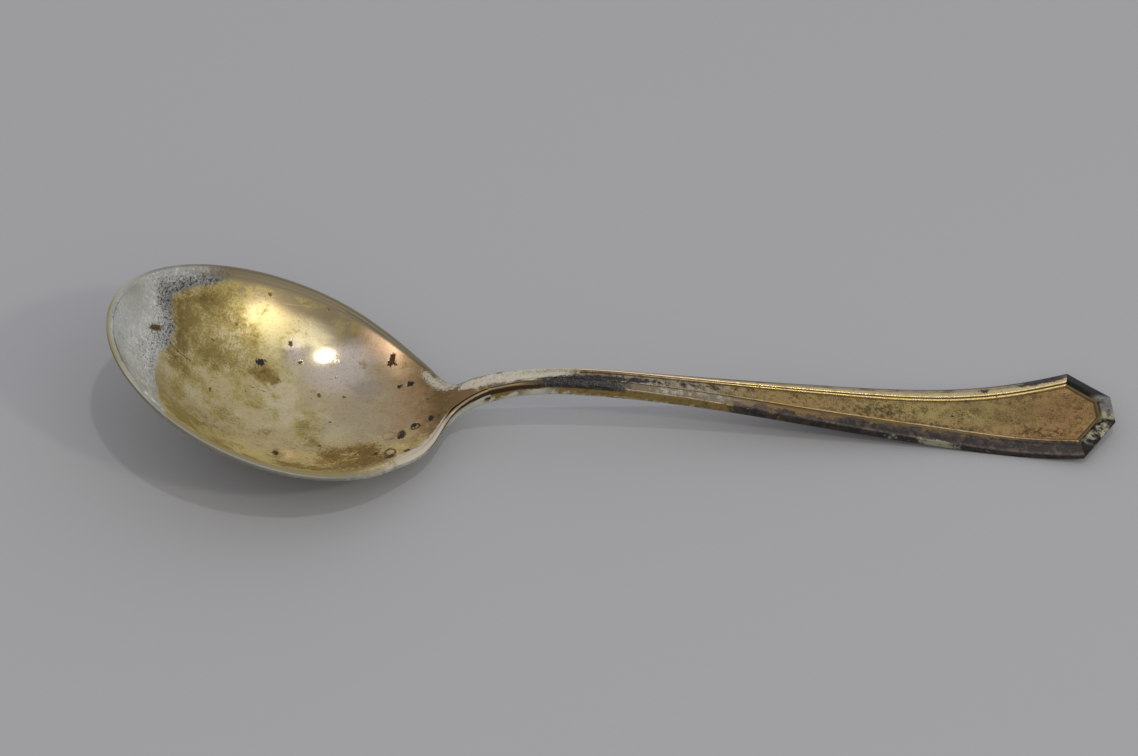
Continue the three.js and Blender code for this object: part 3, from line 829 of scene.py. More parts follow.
# a finish is built up in coats: a mask, its colour, roughness, metal and build-up in millimetres
class Finish:
    def __init__(self, name, colour):
        form = finishForm[name]
        self.material = bpy.data.materials.new(name)
        self.material.use_nodes = True
        self.tree = self.material.node_tree
        self.shader = self.tree.nodes["Principled BSDF"]
        self.shader.inputs["Specular IOR Level"].default_value = form["shine"]
        self.ground = useGroup(self.tree, groundGroup, {"Seed": form["seed"]})
        self.band = self.kept("band")
        apart = addNode(self.tree, "ShaderNodeSeparateXYZ", {0: self.ground["Point"]}).outputs
        self.x, self.y = apart["X"], apart["Y"]
        self.colour, self.rough, self.metal = (*colour, 1.0), form["rough"], form["metal"]
        self.height, self.grain = 0.0, form["grain"]

    def kept(self, name):
        return addNode(self.tree, "ShaderNodeAttribute", attribute_name=name).outputs["Fac"]

    def stain(self, source, noise, wander, low, high):
        if isinstance(source, str):
            source = self.kept(source)
        made = useGroup(self.tree, stainGroup, {
            "Map": source, "Noise": self.ground[noise], "Wander": wander, "Low": low, "High": high})
        return made["Mask"]

    def noise(self, name, low, high, toLow=0.0, toHigh=1.0):
        return remap(self.tree, self.ground[name], low, high, toLow, toHigh)

    def both(self, *masks):
        total = masks[0]
        for mask in masks[1:]:
            total = maths(self.tree, "MULTIPLY", total, mask)
        return total

    def between(self, value, low, high, soft):
        rise = remap(self.tree, value, low - soft, low + soft)
        return self.both(rise, remap(self.tree, value, high + soft, high - soft))

    def step(self, value, low, high):
        return remap(self.tree, value, low, high)

    def coat(self, mask, colour, rough=None, metal=None, lift=None):
        self.colour = mixColour(self.tree, mask, self.colour, (*colour, 1.0))
        if rough is not None:
            self.rough = mixValue(self.tree, mask, self.rough, rough)
        if metal is not None:
            self.metal = mixValue(self.tree, mask, self.metal, metal)
        if lift is not None:
            self.raised(mask, lift)

    def dull(self, mask, rough, metal):
        self.rough = mixValue(self.tree, mask, self.rough, rough)
        self.metal = mixValue(self.tree, mask, self.metal, metal)

    def raised(self, mask, lift):
        self.height = maths(self.tree, "ADD", self.height, maths(self.tree, "MULTIPLY", mask, lift))

    def finish(self):
        self.raised(self.ground["Grain"], self.grain)
        bump = addNode(self.tree, "ShaderNodeBump",
                       {"Strength": 1.0, "Distance": mm, "Height": self.height})
        made = {"Base Color": self.colour, "Roughness": self.rough, "Metallic": self.metal,
                "Normal": bump.outputs[0]}
        for key, value in made.items():
            self.tree.links.new(value, self.shader.inputs[key])
        return self.material


silverTones = {
    "pale": (0.61, 0.53, 0.34), "warm": (0.52, 0.43, 0.23), "lilac": (0.60, 0.52, 0.45),
    "right": (0.43, 0.35, 0.23), "farWallShade": (0.235, 0.19, 0.115), "slate": (0.32, 0.28, 0.255),
    "olive": (0.42, 0.345, 0.13), "oliveDark": (0.20, 0.145, 0.05), "brown": (0.33, 0.205, 0.045),
    "haze": (0.47, 0.41, 0.225),
    "tan": (0.36, 0.23, 0.118), "tanDark": (0.15, 0.093, 0.037), "peachTintAndGlint": (1.0, 0.66, 0.40),
    "nearWallTintAndReflection": (0.58, 0.465, 0.19), "oliveLow": (0.27, 0.205, 0.06), "brownLow": (0.15, 0.09, 0.022),
    "frost": (0.46, 0.475, 0.47), "frostWarm": (0.395, 0.39, 0.325), "frostCream": (0.56, 0.565, 0.535),
    "frostOlive": (0.33, 0.335, 0.285), "frostWhite": (0.63, 0.635, 0.61),
    "blueGrey": (0.12, 0.125, 0.13), "ink": (0.022, 0.02, 0.02), "soot": (0.065, 0.036, 0.012),
    "pit": (0.10, 0.072, 0.024), "crust": (0.53, 0.47, 0.38), "crustGreen": (0.39, 0.395, 0.325),
    "rim": (0.27, 0.26, 0.22), "rimDark": (0.12, 0.105, 0.065), "farLand": (0.19, 0.16, 0.105),
    "farEdge": (0.25, 0.23, 0.16), "goldEdge": (0.33, 0.28, 0.15),
    "ridge": (0.46, 0.32, 0.16), "neckDark": (0.07, 0.042, 0.02),
}


handleTones = {
    "brown": (0.42, 0.285, 0.118), "brownDark": (0.18, 0.118, 0.046), "gold": (0.68, 0.555, 0.32),
    "peachGold": (0.66, 0.49, 0.33), "goldBright": (0.90, 0.72, 0.28), "grooveAndShade": (0.05, 0.033, 0.014),
    "farEdge": (0.43, 0.36, 0.23), "panelGrey": (0.46, 0.385, 0.275), "borderGrey": (0.165, 0.142, 0.108),
    "farDark": (0.16, 0.14, 0.115), "dark": (0.085, 0.066, 0.056),
    "black": (0.04, 0.036, 0.034), "charcoal": (0.03, 0.031, 0.037), "paleGreen": (0.27, 0.26, 0.19),
    "olive": (0.47, 0.365, 0.145), "orange": (0.50, 0.29, 0.125), "blueGrey": (0.38, 0.36, 0.30),
    "crust": (0.60, 0.55, 0.45), "crustGreen": (0.46, 0.465, 0.385), "side": (0.33, 0.23, 0.075),
    "nearBrown": (0.175, 0.12, 0.054), "endGrey": (0.02, 0.02, 0.02), "endSilver": (0.25, 0.242, 0.215),
    "endScratch": (0.39, 0.36, 0.25), "ridge": (0.46, 0.32, 0.16), "neckDark": (0.07, 0.042, 0.02),
}


def neckCrust(f, tones, top):
    crust = f.both(f.stain("neckCrust", "Ragged", 0.7, 0.35, 0.65), top)
    f.coat(crust, tones["crust"], 0.85, 0.0, 0.05)
    f.coat(f.both(crust, f.noise("Clouds", 0.3, 0.8, 0.0, 0.6)), tones["crustGreen"])
    f.coat(f.both(crust, f.noise("Fine", 0.45, 1.0, 0.0, 0.5)), tones["blueGrey"], 0.8)
    f.coat(f.both(crust, f.noise("Dust", 0.55, 1.0, 0.0, 0.4)), tones["borderGrey"], 0.8, None, -0.02)
    f.coat(f.both(crust, f.noise("Grain", 0.6, 0.95, 0.0, 0.6), f.noise("Ragged", 0.2, 0.8)),
           tones["brownDark"], 0.7, None, -0.03)


# in each finish f is what is being built and t its tones
def makeBowlInside():
    t = silverTones
    f = Finish("bowlInside", t["pale"])
    f.coat(f.noise("Clouds", 0.2, 0.9, 0.0, 0.8), t["warm"], 0.3)
    f.coat(f.noise("Ragged", 0.4, 1.0, 0.0, 0.4), t["olive"], 0.32)
    # painted shade: the silver darker towards the heel
    f.coat(f.stain(f.x, "Clouds", 6.0, -58, -46), t["right"], 0.2)
    # painted shade: the far wall darkened, standing in for the dim reflection it catches
    f.coat(f.stain("farWallShade", "Clouds", 0.3, 0.1, 0.8), t["farWallShade"], 0.28)
    f.coat(f.stain("haze", "Ragged", 0.5, 0.1, 0.9), t["haze"], 0.35)
    f.coat(f.stain("lilac", "Clouds", 0.3, 0.1, 0.9), t["lilac"], 0.16)
    f.coat(f.stain("slate", "Ragged", 0.5, 0.1, 0.9), t["slate"], 0.22)
    f.coat(f.stain(f.x, "Ragged", 5.0, -45, -34), t["tan"], 0.3)
    f.coat(f.stain(f.x, "Ragged", 5.0, -38, -30), t["tanDark"], 0.36)
    f.coat(f.both(f.step(f.x, -32, -27.5), 0.4), t["tan"])
    # painted highlight: a near-white peach glow on the far wall, over copper-toned tarnish
    f.coat(f.stain("peachTintAndGlint", "Clouds", 0.3, 0.0, 1.3), t["peachTintAndGlint"], 0.37)
    # near wall: golden tarnish lightened with painted reflected light; then tarnish, thin to dense
    f.coat(f.stain(f.y, "Ragged", 8.0, -3, -15), t["nearWallTintAndReflection"], 0.34)
    f.coat(f.both(f.stain("olive", "Ragged", 1.0, 0.05, 0.95), 0.65), t["olive"], 0.34, 0.85, 0.003)
    f.coat(f.both(f.stain("olive", "Ragged", 1.2, 0.35, 0.85), f.step(f.x, -46, -58), 0.85),
           t["olive"], 0.38, 0.75, 0.003)
    f.coat(f.both(f.stain("olive", "Ragged", 1.0, 0.6, 1.3), 0.7), t["oliveDark"], 0.42, 0.75)
    f.coat(f.both(f.stain("olive", "Grain", 1.0, 0.6, 1.3), 0.5), t["oliveDark"], 0.44, 0.75)
    f.coat(f.both(f.stain("olive", "Dust", 1.0, 0.7, 1.3), 0.6), t["oliveDark"], 0.44, 0.75)
    f.coat(f.stain("dense", "Ragged", 1.0, 0.2, 0.9), t["oliveDark"], 0.42, 0.7)
    f.coat(f.both(f.stain("dense", "Fine", 1.2, 0.7, 1.2), 0.6), t["pit"], 0.46, 0.7)
    f.coat(f.stain("brown", "Ragged", 1.1, 0.25, 0.8), t["brown"], 0.38, 0.7, 0.003)
    f.coat(f.both(f.stain("brown", "Fine", 1.5, 0.5, 1.2), 0.65), t["pit"], 0.45, 0.6)
    f.coat(f.noise("Grain", 0.55, 1.0, 0.0, 0.25), t["oliveDark"], 0.42)
    f.coat(f.both(f.noise("Specks", 0.2, 0.8), f.noise("Clouds", 0.5, 0.9, 0.1, 0.7)), t["pit"], 0.5)
    f.coat(f.both(f.noise("Scratches", 0.1, 0.9), 0.25), t["warm"], 0.42, None, -0.002)
    f.dull(f.stain(f.y, "Ragged", 5.0, -2, -14), 0.4, 0.3)
    f.dull(f.stain("lilac", "Clouds", 0.1, 0.0, 0.3), 0.125, 1.0)
    low = f.step(f.y, -3, -9)
    f.coat(f.both(f.stain("olive", "Ragged", 1.6, 0.4, 0.9), low, 0.75), t["oliveLow"], 0.45, 0.3)
    f.coat(f.both(f.stain("brown", "Grain", 1.4, 0.35, 1.0), low, 0.75), t["brownLow"], 0.5, 0.3)
    # painted highlight: a pinkish glint on the near wall
    f.coat(f.both(f.stain("peachTintAndGlint", "Grain", 0.8, 0.5, 1.2), low, 0.8), t["peachTintAndGlint"], 0.4, 0.5)
    f.coat(f.both(f.step(f.band, 0.86, 0.97), low, f.step(f.x, -42, -50), 0.8), t["oliveLow"], 0.55, 0.3)
    # chalky film at the tip, with a cream edge and a blue-grey speckled band
    film = f.kept("frost")
    upper = f.step(f.y, 4, 9)
    frost = mixValue(f.tree, upper, f.stain(film, "Ragged", 1.3, -0.3, 0.35),
                     f.stain(film, "Fine", 1.1, -0.7, 0.7))
    f.coat(frost, t["frost"], 0.7, 0.15, 0.02)
    f.coat(f.both(frost, f.step(f.y, 5, -9)), t["frostWarm"])
    f.coat(f.both(f.between(film, 1.4, 5.5, 0.9), f.step(f.y, -8, 0), f.noise("Ragged", 0.2, 0.7)),
           t["frostCream"], 0.8, 0.0, 0.03)
    f.coat(f.both(frost, f.noise("Ragged", 0.4, 1.0, 0.0, 0.5)), t["blueGrey"], 0.7)
    f.coat(f.both(frost, f.step(f.y, 11, 20), 0.3), t["blueGrey"], 0.7)
    f.coat(f.both(frost, f.noise("Dust", 0.5, 1.0, 0.0, 0.5), f.step(f.y, -14, 4)),
           t["blueGrey"], 0.7, 0.2, -0.01)
    f.coat(f.both(frost, f.step(f.y, 5, 13), f.step(film, 2.5, 6.5), 0.75), t["frostOlive"])
    f.coat(f.both(frost, f.noise("Fine", 0.55, 0.85, 0.0, 0.8), f.between(film, 0.0, 5.0, 2.0)),
           t["frostWhite"], 0.8, 0.0, 0.03)
    f.coat(f.both(frost, f.noise("Grain", 0.68, 0.85, 0.0, 0.85), f.between(film, -0.5, 3.4, 1.4),
                  f.step(f.y, -12, 2)), t["blueGrey"], 0.7, 0.2, -0.03)
    band = f.both(f.stain(film, "Fine", 1.0, -0.9, 0.3), f.stain(film, "Ragged", -1.6, 3.2, 0.3),
                  f.between(f.y, 7, 22.5, 2.5))
    f.coat(f.both(band, f.noise("Dust", 0.1, 0.8, 0.5, 0.95), f.noise("Fine", 0.25, 0.7, 0.45, 1.0)),
           t["blueGrey"], 0.7, 0.4, -0.01)
    f.coat(f.both(band, f.noise("Grain", 0.55, 0.85, 0.0, 0.75)), t["ink"], 0.6, 0.5, -0.02)
    # spots and pits
    f.coat(f.both(f.stain("faintRings", "Grain", 0.1, -0.1, 0.12), 0.7), t["oliveDark"], 0.5, 0.8, -0.01)
    f.coat(f.stain("scratches", "Grain", 0.08, -0.08, 0.08), t["pit"], 0.6, 0.6, -0.02)
    f.coat(f.stain("pits", "Grain", 0.2, -0.14, 0.14), t["pit"], 0.6, 0.5, -0.03)
    f.coat(f.stain("rings", "Dust", 0.3, -0.12, 0.08), t["soot"], 0.6, 0.4, -0.03)
    f.coat(f.stain("soot", "Grain", 0.35, -0.18, 0.12), t["soot"], 0.6, 0.4, -0.04)
    f.coat(f.stain("ink", "Grain", 0.35, -0.16, 0.1), t["ink"], 0.6, 0.3, -0.04)
    # neck: crust over the far half
    neckCrust(f, handleTones, 1.0)
    # worn edge: grey, golden at the tip, crusted on the near shoulder, a gold ridge and a dark line below it
    land = f.step(f.band, 1.12, 1.24)
    f.coat(f.both(land, f.noise("Ragged", 0.1, 0.6, 0.6, 1.0)), t["rim"], 0.45, 0.8)
    farRim = f.both(f.step(f.y, 4, 9), f.step(f.x, -78, -68))
    f.coat(f.both(farRim, f.step(f.band, 0.93, 0.975)), t["farLand"], 0.5, 0.75)
    f.coat(f.both(farRim, f.step(f.band, 1.2, 1.26), f.noise("Ragged", 0.1, 0.7, 0.7, 1.0)),
           t["farEdge"], 0.6, 0.6)
    f.coat(f.both(land, f.step(f.x, -80, -88)), t["frostWarm"], 0.6, 0.3)
    f.coat(f.both(f.step(f.band, 1.2, 1.3), f.step(f.x, -86, -89), f.between(f.y, -9, 7, 3.0)),
           t["goldEdge"], 0.5, 0.6)
    nearSide = f.step(f.y, -1.0, -1.6)
    nearLand = f.both(f.step(f.band, 1.0, 1.08), nearSide)
    shoulder = f.both(nearSide, f.stain(f.band, "Fine", 0.14, 0.84, 0.93),
                      f.stain(f.x, "Ragged", 9.0, -48, -38), f.step(f.x, -29.6, -31.6))
    f.coat(shoulder, t["crust"], 0.85, 0.0, 0.05)
    ridge = f.both(nearLand, f.step(f.x, -32, -30))
    f.coat(f.both(ridge, f.step(f.band, 1.2, 1.26)), t["ridge"], 0.35, 1.0)
    f.coat(f.both(ridge, f.step(f.band, 1.22, 1.16)), t["neckDark"], 0.5, 0.9)
    crust = f.stain("crust", "Grain", 0.7, -0.3, 0.15)
    f.coat(crust, t["crust"], 0.85, 0.0, 0.06)
    f.coat(f.both(crust, f.noise("Fine", 0.4, 0.9, 0.0, 0.6)), t["crustGreen"])
    f.coat(f.both(crust, f.noise("Grain", 0.6, 0.9, 0.0, 0.5)), t["pit"], 0.8, None, -0.03)
    return f.finish()


def makeBowlBack():
    t = silverTones
    f = Finish("bowlBack", t["pale"])
    f.coat(f.noise("Clouds", 0.2, 0.8), t["right"], 0.34)
    f.coat(f.both(f.noise("Clouds", 0.2, 0.8), f.noise("Ragged", 0.3, 0.9)), t["olive"], 0.44, 0.92)
    f.coat(f.noise("Fine", 0.45, 1.0, 0.0, 0.6), t["oliveDark"], 0.48)
    f.coat(f.noise("Grain", 0.5, 1.0, 0.0, 0.4), t["rimDark"], 0.48)
    f.coat(f.both(f.noise("Specks", 0.2, 0.8), 0.8), t["pit"], 0.6)
    f.coat(f.both(f.noise("Scratches", 0.1, 0.9), 0.3), t["warm"], 0.45, None, -0.002)
    edge = f.step(f.band, 2.1, 1.9)
    f.coat(f.both(edge, f.noise("Ragged", 0.1, 0.6, 0.4, 1.0)), t["rim"], 0.55, 0.7, 0.01)
    f.coat(f.both(f.step(f.x, -84.0, -89.0), f.step(f.band, 2.3, 2.0)), t["goldEdge"], 0.45, 0.9)
    near = f.step(f.y, -1.0, -1.6)
    shoulder = f.both(f.stain(f.x, "Ragged", 9.0, -52, -44), f.stain(f.band, "Ragged", 0.5, 2.5, 1.95),
                      f.noise("Fine", 0.1, 0.5))
    f.coat(f.both(shoulder, near), t["crustGreen"], 0.85, 0.05, 0.05)
    f.coat(f.both(near, f.between(f.band, 1.44, 1.72, 0.06), f.step(f.x, -36, -32)),
           t["neckDark"], 0.5, 0.9)
    f.coat(f.both(near, f.between(f.band, 1.44, 2.1, 0.06), f.step(f.x, -31, -27)),
           t["neckDark"], 0.5, 0.9)
    return f.finish()


def lowerCrust(f, tones):
    # pale green crust along the lower edge of the neck, thickest before the crown
    side = f.step(f.band, -2.6, -2.1)
    lower = f.both(f.stain(f.x, "Ragged", 6.0, -8, -12), f.stain(f.band, "Ragged", 0.9, -0.72, -0.98),
                   side)
    f.coat(lower, tones["crustGreen"], 0.85, 0.0, 0.06)
    thin = f.both(f.stain(f.x, "Ragged", 10.0, 20, 8), f.stain(f.band, "Fine", 0.6, -0.95, -1.25), side)
    f.coat(thin, tones["crustGreen"], 0.85, 0.0, 0.04)
    hump = f.both(f.between(f.x, -17.0, -12.5, 2.0), f.stain(f.band, "Ragged", 0.5, -0.3, -0.55), side)
    f.coat(hump, tones["crustGreen"], 0.85, 0.0, 0.06)
    f.coat(f.both(f.step(f.x, -23.6, -24.4), f.noise("Fine", 0.1, 0.4, 0.5, 1.0)),
           tones["crustGreen"], 0.85, 0.1, 0.03)


def makeHandleFace():
    t = handleTones
    f = Finish("handleFace", t["brown"])
    far, near = f.step(f.y, -0.3, 0.3), f.step(f.y, 0.3, -0.3)
    side = f.step(f.kept("endward"), 0.6, 0.4)
    # panel: golden brown, mottled and pitted
    f.coat(f.stain("olive", "Ragged", 0.6, 0.1, 0.9), t["olive"], 0.36)
    f.coat(f.both(f.stain("orange", "Ragged", 0.6, 0.2, 0.9), f.step(f.band, 0.7, 0.9)),
           t["orange"], 0.42)
    f.coat(f.stain(f.x, "Ragged", 12.0, 28, 12), t["panelGrey"], 0.48, 0.85)
    f.coat(f.noise("Clouds", 0.35, 1.0, 0.0, 0.4), t["brownDark"], 0.42)
    f.coat(f.noise("Ragged", 0.4, 1.0, 0.0, 0.45), t["brownDark"], 0.42)
    f.coat(f.noise("Fine", 0.35, 1.0, 0.0, 0.6), t["brownDark"], 0.42)
    f.coat(f.both(f.noise("Dust", 0.45, 1.0, 0.0, 0.6), f.noise("Ragged", 0.1, 0.8, 0.4, 1.0)),
           t["grooveAndShade"], 0.46)
    f.coat(f.both(f.noise("Grain", 0.6, 1.0, 0.0, 0.7), f.noise("Ragged", 0.3, 0.9)), t["grooveAndShade"], 0.46)
    # painted shade: darker patches on the panel
    f.coat(f.both(f.stain("shade", "Fine", 1.0, 0.25, 1.1), 0.8), t["grooveAndShade"], 0.46)
    f.coat(f.stain("blueGrey", "Fine", 0.9, 0.25, 0.85), t["blueGrey"], 0.5, 0.6)
    # border on the far side: dull edge, bright bead, dark groove, bright thread
    edge = f.between(f.band, 0.0, 0.44, 0.04)
    f.coat(f.both(edge, far), t["farEdge"], 0.42)
    f.coat(f.both(edge, far, f.noise("Ragged", 0.3, 0.9, 0.0, 0.8)), t["brownDark"], 0.45)
    f.coat(f.both(edge, far, f.stain(f.x, "Ragged", 10.0, 38, 18)), t["brownDark"], 0.5, 0.8)
    f.coat(f.both(edge, far, f.stain(f.x, "Ragged", 8.0, 70, 80)), t["farDark"], 0.42)
    worn = f.both(f.noise("Ragged", 0.1, 0.6, 0.55, 1.0), f.noise("Grain", 0.0, 0.6, 0.65, 1.0),
                  f.step(f.x, -9, -5))
    bead = f.both(f.step(f.band, 0.32, 0.5), f.step(f.band, 0.73, 0.69), far, worn, side)
    f.coat(bead, t["gold"], 0.26, 1.0)
    f.coat(f.both(bead, f.step(f.x, 26, 6)), t["peachGold"], 0.3, 1.0)
    f.coat(f.between(f.band, 0.735, 0.82, 0.015), t["grooveAndShade"], 0.6, 0.7)
    thread = f.both(f.between(f.band, 0.85, 0.925, 0.02), side)
    f.coat(f.both(thread, far, worn, f.step(f.x, 0, 30)), t["goldBright"], 0.25, 1.0)
    # near side of the border: brown, worn to gold along the thread, dark outside
    nearBorder = f.both(f.between(f.band, 0.04, 0.83, 0.03), near, side)
    f.coat(nearBorder, t["nearBrown"], 0.5, 0.9)
    f.coat(f.both(nearBorder, f.stain(f.x, "Ragged", 8.0, 28, 18)), t["borderGrey"], 0.6, 0.4)
    f.coat(f.both(nearBorder, f.noise("Fine", 0.4, 0.9, 0.0, 0.8)), t["brownDark"], 0.5, 0.8)
    f.coat(f.both(thread, near, f.noise("Ragged", 0.2, 0.7, 0.1, 0.7), f.step(f.x, 18, 28),
                  f.step(f.x, 80, 68)), t["gold"], 0.3, 1.0)
    f.coat(f.both(f.between(f.band, 0.955, 1.02, 0.015), 0.8), t["grooveAndShade"], 0.6, 0.7)
    f.coat(f.both(nearBorder, f.stain("blueGrey", "Fine", 1.1, 0.3, 1.1)), t["blueGrey"], 0.6, 0.4)
    f.coat(f.both(nearBorder, f.noise("Grain", 0.5, 0.95, 0.0, 0.6)), t["brownDark"], 0.5, 0.8)
    f.coat(f.both(f.between(f.band, -1.6, -0.05, 0.05), near), t["side"], 0.4)
    f.coat(f.both(f.between(f.band, -1.6, -0.05, 0.05), f.noise("Fine", 0.4, 1.0, 0.0, 0.8)),
           t["brownDark"], 0.44)
    # painted highlight: a gold line along the near top edge
    f.coat(f.both(f.between(f.band, -0.06, 0.05, 0.04), near, f.noise("Fine", 0.4, 0.9, 0.0, 0.5),
                  f.step(f.x, 50, 36)), t["gold"], 0.35)
    sideDark = f.both(f.between(f.band, -1.8, 0.1, 0.1), f.stain(f.x, "Ragged", 12.0, 21, 31))
    f.coat(sideDark, t["black"], 0.55, 0.9)
    outside = f.step(f.band, 0.9, 0.78)
    f.coat(f.both(f.stain("dark", "Ragged", 1.0, 0.3, 0.62), outside), t["dark"], 0.44, 0.9)
    f.coat(f.both(f.stain("dark", "Fine", 1.0, 0.5, 0.95), outside), t["black"], 0.42, 0.9)
    f.coat(f.both(f.stain("paleGreen", "Fine", 0.5, 0.3, 0.6), f.step(f.band, 0.6, 0.45)),
           t["paleGreen"], 0.75, 0.2, 0.02)
    # clipped end: dark bevels, silvery edge, scratched near corner, brown ridge
    clipped = f.step(f.kept("endward"), 0.4, 0.6)
    f.coat(f.both(clipped, f.between(f.band, 0.84, 0.95, 0.02)), t["nearBrown"], 0.4)
    end = f.both(clipped, f.step(f.band, 0.84, 0.76))
    f.coat(end, t["endGrey"], 0.36, 0.95)
    f.coat(f.both(end, f.between(f.y, -2.5, 3.2, 0.7), f.noise("Ragged", 0.2, 0.6, 0.4, 1.0)),
           t["endSilver"], 0.4)
    f.coat(f.both(end, f.step(f.y, -0.5, -1.5), f.step(f.y, -8.5, -7.0), f.noise("Ragged", 0.3, 0.65)),
           t["endScratch"], 0.5, 0.7)
    f.coat(f.both(end, f.noise("Fine", 0.5, 0.9, 0.0, 0.7)), t["black"], 0.42)
    # neck: crust on top, charcoal after it, a gold ridge and a dark line on the near edge
    char = f.both(f.stain("charcoal", "Fine", 0.8, 0.25, 0.8), f.step(f.band, -0.45, -0.25))
    f.coat(char, t["charcoal"], 0.45, 0.9)
    f.coat(f.both(char, f.noise("Dust", 0.5, 1.0, 0.0, 0.6)), t["borderGrey"], 0.6, 0.6)
    nearNeck = f.both(near, f.step(f.x, -12, -16))
    f.coat(f.both(nearNeck, f.between(f.band, -0.45, 0.0, 0.05)), t["neckDark"], 0.5, 0.9)
    top = f.step(f.band, -0.1, 0.05)
    bare = f.both(nearNeck, f.step(f.band, 0.5, 0.38))
    neckCrust(f, t, f.both(top, maths(f.tree, "SUBTRACT", 1.0, bare)))
    f.coat(f.both(nearNeck, f.between(f.band, 0.02, 0.2, 0.06)), t["neckDark"], 0.5, 0.9)
    f.coat(f.both(nearNeck, f.between(f.band, 0.02, 0.2, 0.06), f.step(f.x, -16, -20)),
           t["ridge"], 0.4, 1.0)
    f.coat(f.both(nearNeck, f.between(f.band, 0.26, 0.42, 0.04)), t["neckDark"], 0.5, 0.9)
    lowerCrust(f, t)
    f.coat(f.stain("soot", "Grain", 0.5, -0.15, 0.2), t["black"], 0.5, 0.7)
    f.coat(f.both(f.noise("Specks", 0.2, 0.8), 0.85, f.step(f.x, -8, 10)), t["grooveAndShade"], 0.55)
    return f.finish()


def makeHandleBack():
    t = handleTones
    f = Finish("handleBack", t["brown"])
    f.coat(f.noise("Clouds", 0.2, 0.9), t["olive"], 0.4)
    f.coat(f.noise("Fine", 0.35, 1.0, 0.0, 0.75), t["brownDark"], 0.44)
    f.coat(f.both(f.noise("Ragged", 0.45, 0.8), f.noise("Clouds", 0.7, 0.2)), t["dark"], 0.46, 0.9)
    f.coat(f.noise("Grain", 0.45, 1.0, 0.0, 0.5), t["grooveAndShade"], 0.46)
    f.coat(f.both(f.stain(f.x, "Ragged", 10.0, 4, -2), f.noise("Ragged", 0.4, 0.75)),
           t["crustGreen"], 0.85, 0.05, 0.04)
    lowerCrust(f, t)
    f.coat(f.both(f.step(f.x, -20, -24), f.between(f.y, -1.9, 1.9, 0.4),
                  f.noise("Ragged", 0.3, 0.6, 0.1, 0.9)), t["olive"], 0.45, 0.9)
    f.coat(f.both(f.noise("Specks", 0.2, 0.8), 0.8), t["grooveAndShade"], 0.6)
    f.coat(f.both(f.noise("Scratches", 0.1, 0.9), 0.3), t["gold"], 0.45, None, -0.002)
    return f.finish()


def makeSolderGrey():
    t = handleTones
    f = Finish("solderGrey", t["nearBrown"])
    f.coat(f.noise("Fine", 0.4, 0.8), t["brownDark"], 0.5)
    neckCrust(f, t, f.step(f.y, -1.5, -1.2))
    below, near = f.kept("below"), f.step(f.y, -1.5, -1.75)
    f.coat(f.both(near, f.step(below, 0.3, 0.15)), t["ridge"], 0.4, 1.0)
    f.coat(f.both(near, f.between(below, 0.25, 1.3, 0.08)), t["neckDark"])
    f.coat(f.both(near, f.step(below, 1.25, 1.4)), t["crustGreen"], 0.85, 0.1)
    return f.finish()


def dress(piece, materials, pick, node):
    for material in materials:
        piece.data.materials.append(material)
    bands = [d.value for d in piece.data.attributes["band"].data]
    for face in piece.data.polygons:
        face.material_index = pick(sum(bands[v] for v in face.vertices) / len(face.vertices))
    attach(piece, "root")
    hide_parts(node)


dress(bowl, [makeBowlInside(), makeBowlBack()],
      lambda band: int(band > bowlForm["backBand"]), "bowl")
dress(handle, [makeHandleFace(), makeHandleBack()],
      lambda band: int(band < handleForm["backBand"]), "handle")
dress(solder, [makeSolderGrey()], lambda band: 0, "solder")
print("finishes made")

# table, lamps and camera
stageForm = {"size": 2.4, "colour": (0.39, 0.395, 0.413, 1.0), "rough": 0.7, "shine": 0.2}
lampForm = {
    "overhead": {"place": (-0.01, -0.20, 1.0), "size": 0.03, "power": 1.1, "colour": (1.0, 0.98, 0.95)},
    "side": {"place": (0.56, -0.54, 0.82), "size": 0.1, "power": 1.5, "colour": (1.0, 0.91, 0.72)},
    "fill": {"place": (0.29, -0.45, 0.90), "size": 0.40, "power": 0.4, "colour": (1.0, 0.95, 0.85)},
}
skyForm = {"low": 0.62, "high": 0.66, "up": 0.5, "across": -0.2, "span": (-0.5, 0.8),
           "colour": (1.0, 1.0, 1.02, 1.0)}
cameraForm = {"place": (-0.11914, -0.62213, 0.65272), "aim": (-0.00825, 0.00408, 0.008),
              "roll": 7.028, "lens": 159.71, "sensor": 36.0, "nearest": 0.05}


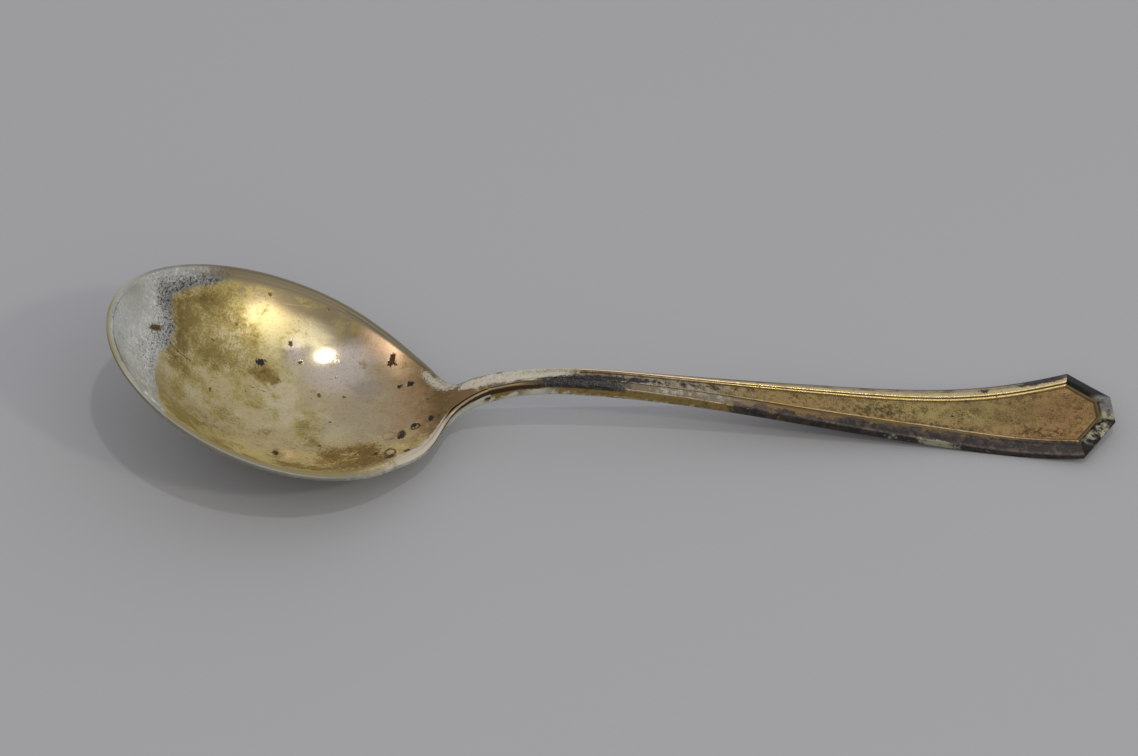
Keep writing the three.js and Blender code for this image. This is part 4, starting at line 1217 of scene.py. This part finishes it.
def makeTable():
    bm = bmesh.new()
    bmesh.ops.create_grid(bm, x_segments=1, y_segments=1, size=stageForm["size"] / 2)
    mesh = bpy.data.meshes.new("table")
    bm.to_mesh(mesh)
    bm.free()
    table = bpy.data.objects.new("table", mesh)
    scene.collection.objects.link(table)
    paper = bpy.data.materials.new("greyPaper")
    paper.use_nodes = True
    shader = paper.node_tree.nodes["Principled BSDF"]
    shader.inputs["Base Color"].default_value = stageForm["colour"]
    shader.inputs["Roughness"].default_value = stageForm["rough"]
    shader.inputs["Specular IOR Level"].default_value = stageForm["shine"]
    mesh.materials.append(paper)


def makeLamp(name, form):
    lamp = bpy.data.lights.new(name, "AREA")
    lamp.shape = "DISK"
    lamp.size = form["size"]
    lamp.energy = form["power"]
    lamp.color = form["colour"]
    holder = bpy.data.objects.new(name, lamp)
    holder.location = form["place"]
    holder.rotation_euler = (-Vector(form["place"])).to_track_quat("-Z", "Y").to_euler()
    scene.collection.objects.link(holder)


def makeSky():
    world = bpy.data.worlds.new("studio")
    scene.world = world
    world.use_nodes = True
    tree = world.node_tree
    sky = tree.nodes["Background"].inputs
    direction = addNode(tree, "ShaderNodeTexCoord").outputs["Generated"]
    toward = addNode(tree, "ShaderNodeSeparateXYZ", {0: direction}).outputs
    up = maths(tree, "MULTIPLY", toward["Z"], skyForm["up"])
    across = maths(tree, "MULTIPLY", toward["Y"], skyForm["across"])
    lean = maths(tree, "ADD", up, across)
    strength = remap(tree, lean, *skyForm["span"], skyForm["low"], skyForm["high"])
    tree.links.new(strength, sky["Strength"])
    sky["Color"].default_value = skyForm["colour"]


def makeCamera():
    lens = bpy.data.cameras.new("camera")
    lens.lens = cameraForm["lens"]
    lens.sensor_width = cameraForm["sensor"]
    lens.clip_start = cameraForm["nearest"]
    eye = bpy.data.objects.new("camera", lens)
    place, aim = Vector(cameraForm["place"]), Vector(cameraForm["aim"])
    roll = Quaternion((0, 0, 1), math.radians(cameraForm["roll"]))
    turn = (aim - place).to_track_quat("-Z", "Y") @ roll
    eye.location = place
    eye.rotation_euler = turn.to_euler()
    scene.collection.objects.link(eye)
    scene.camera = eye


makeTable()
for lampName, lampSizes in lampForm.items():
    makeLamp(lampName, lampSizes)
makeSky()
makeCamera()
print("stage set")
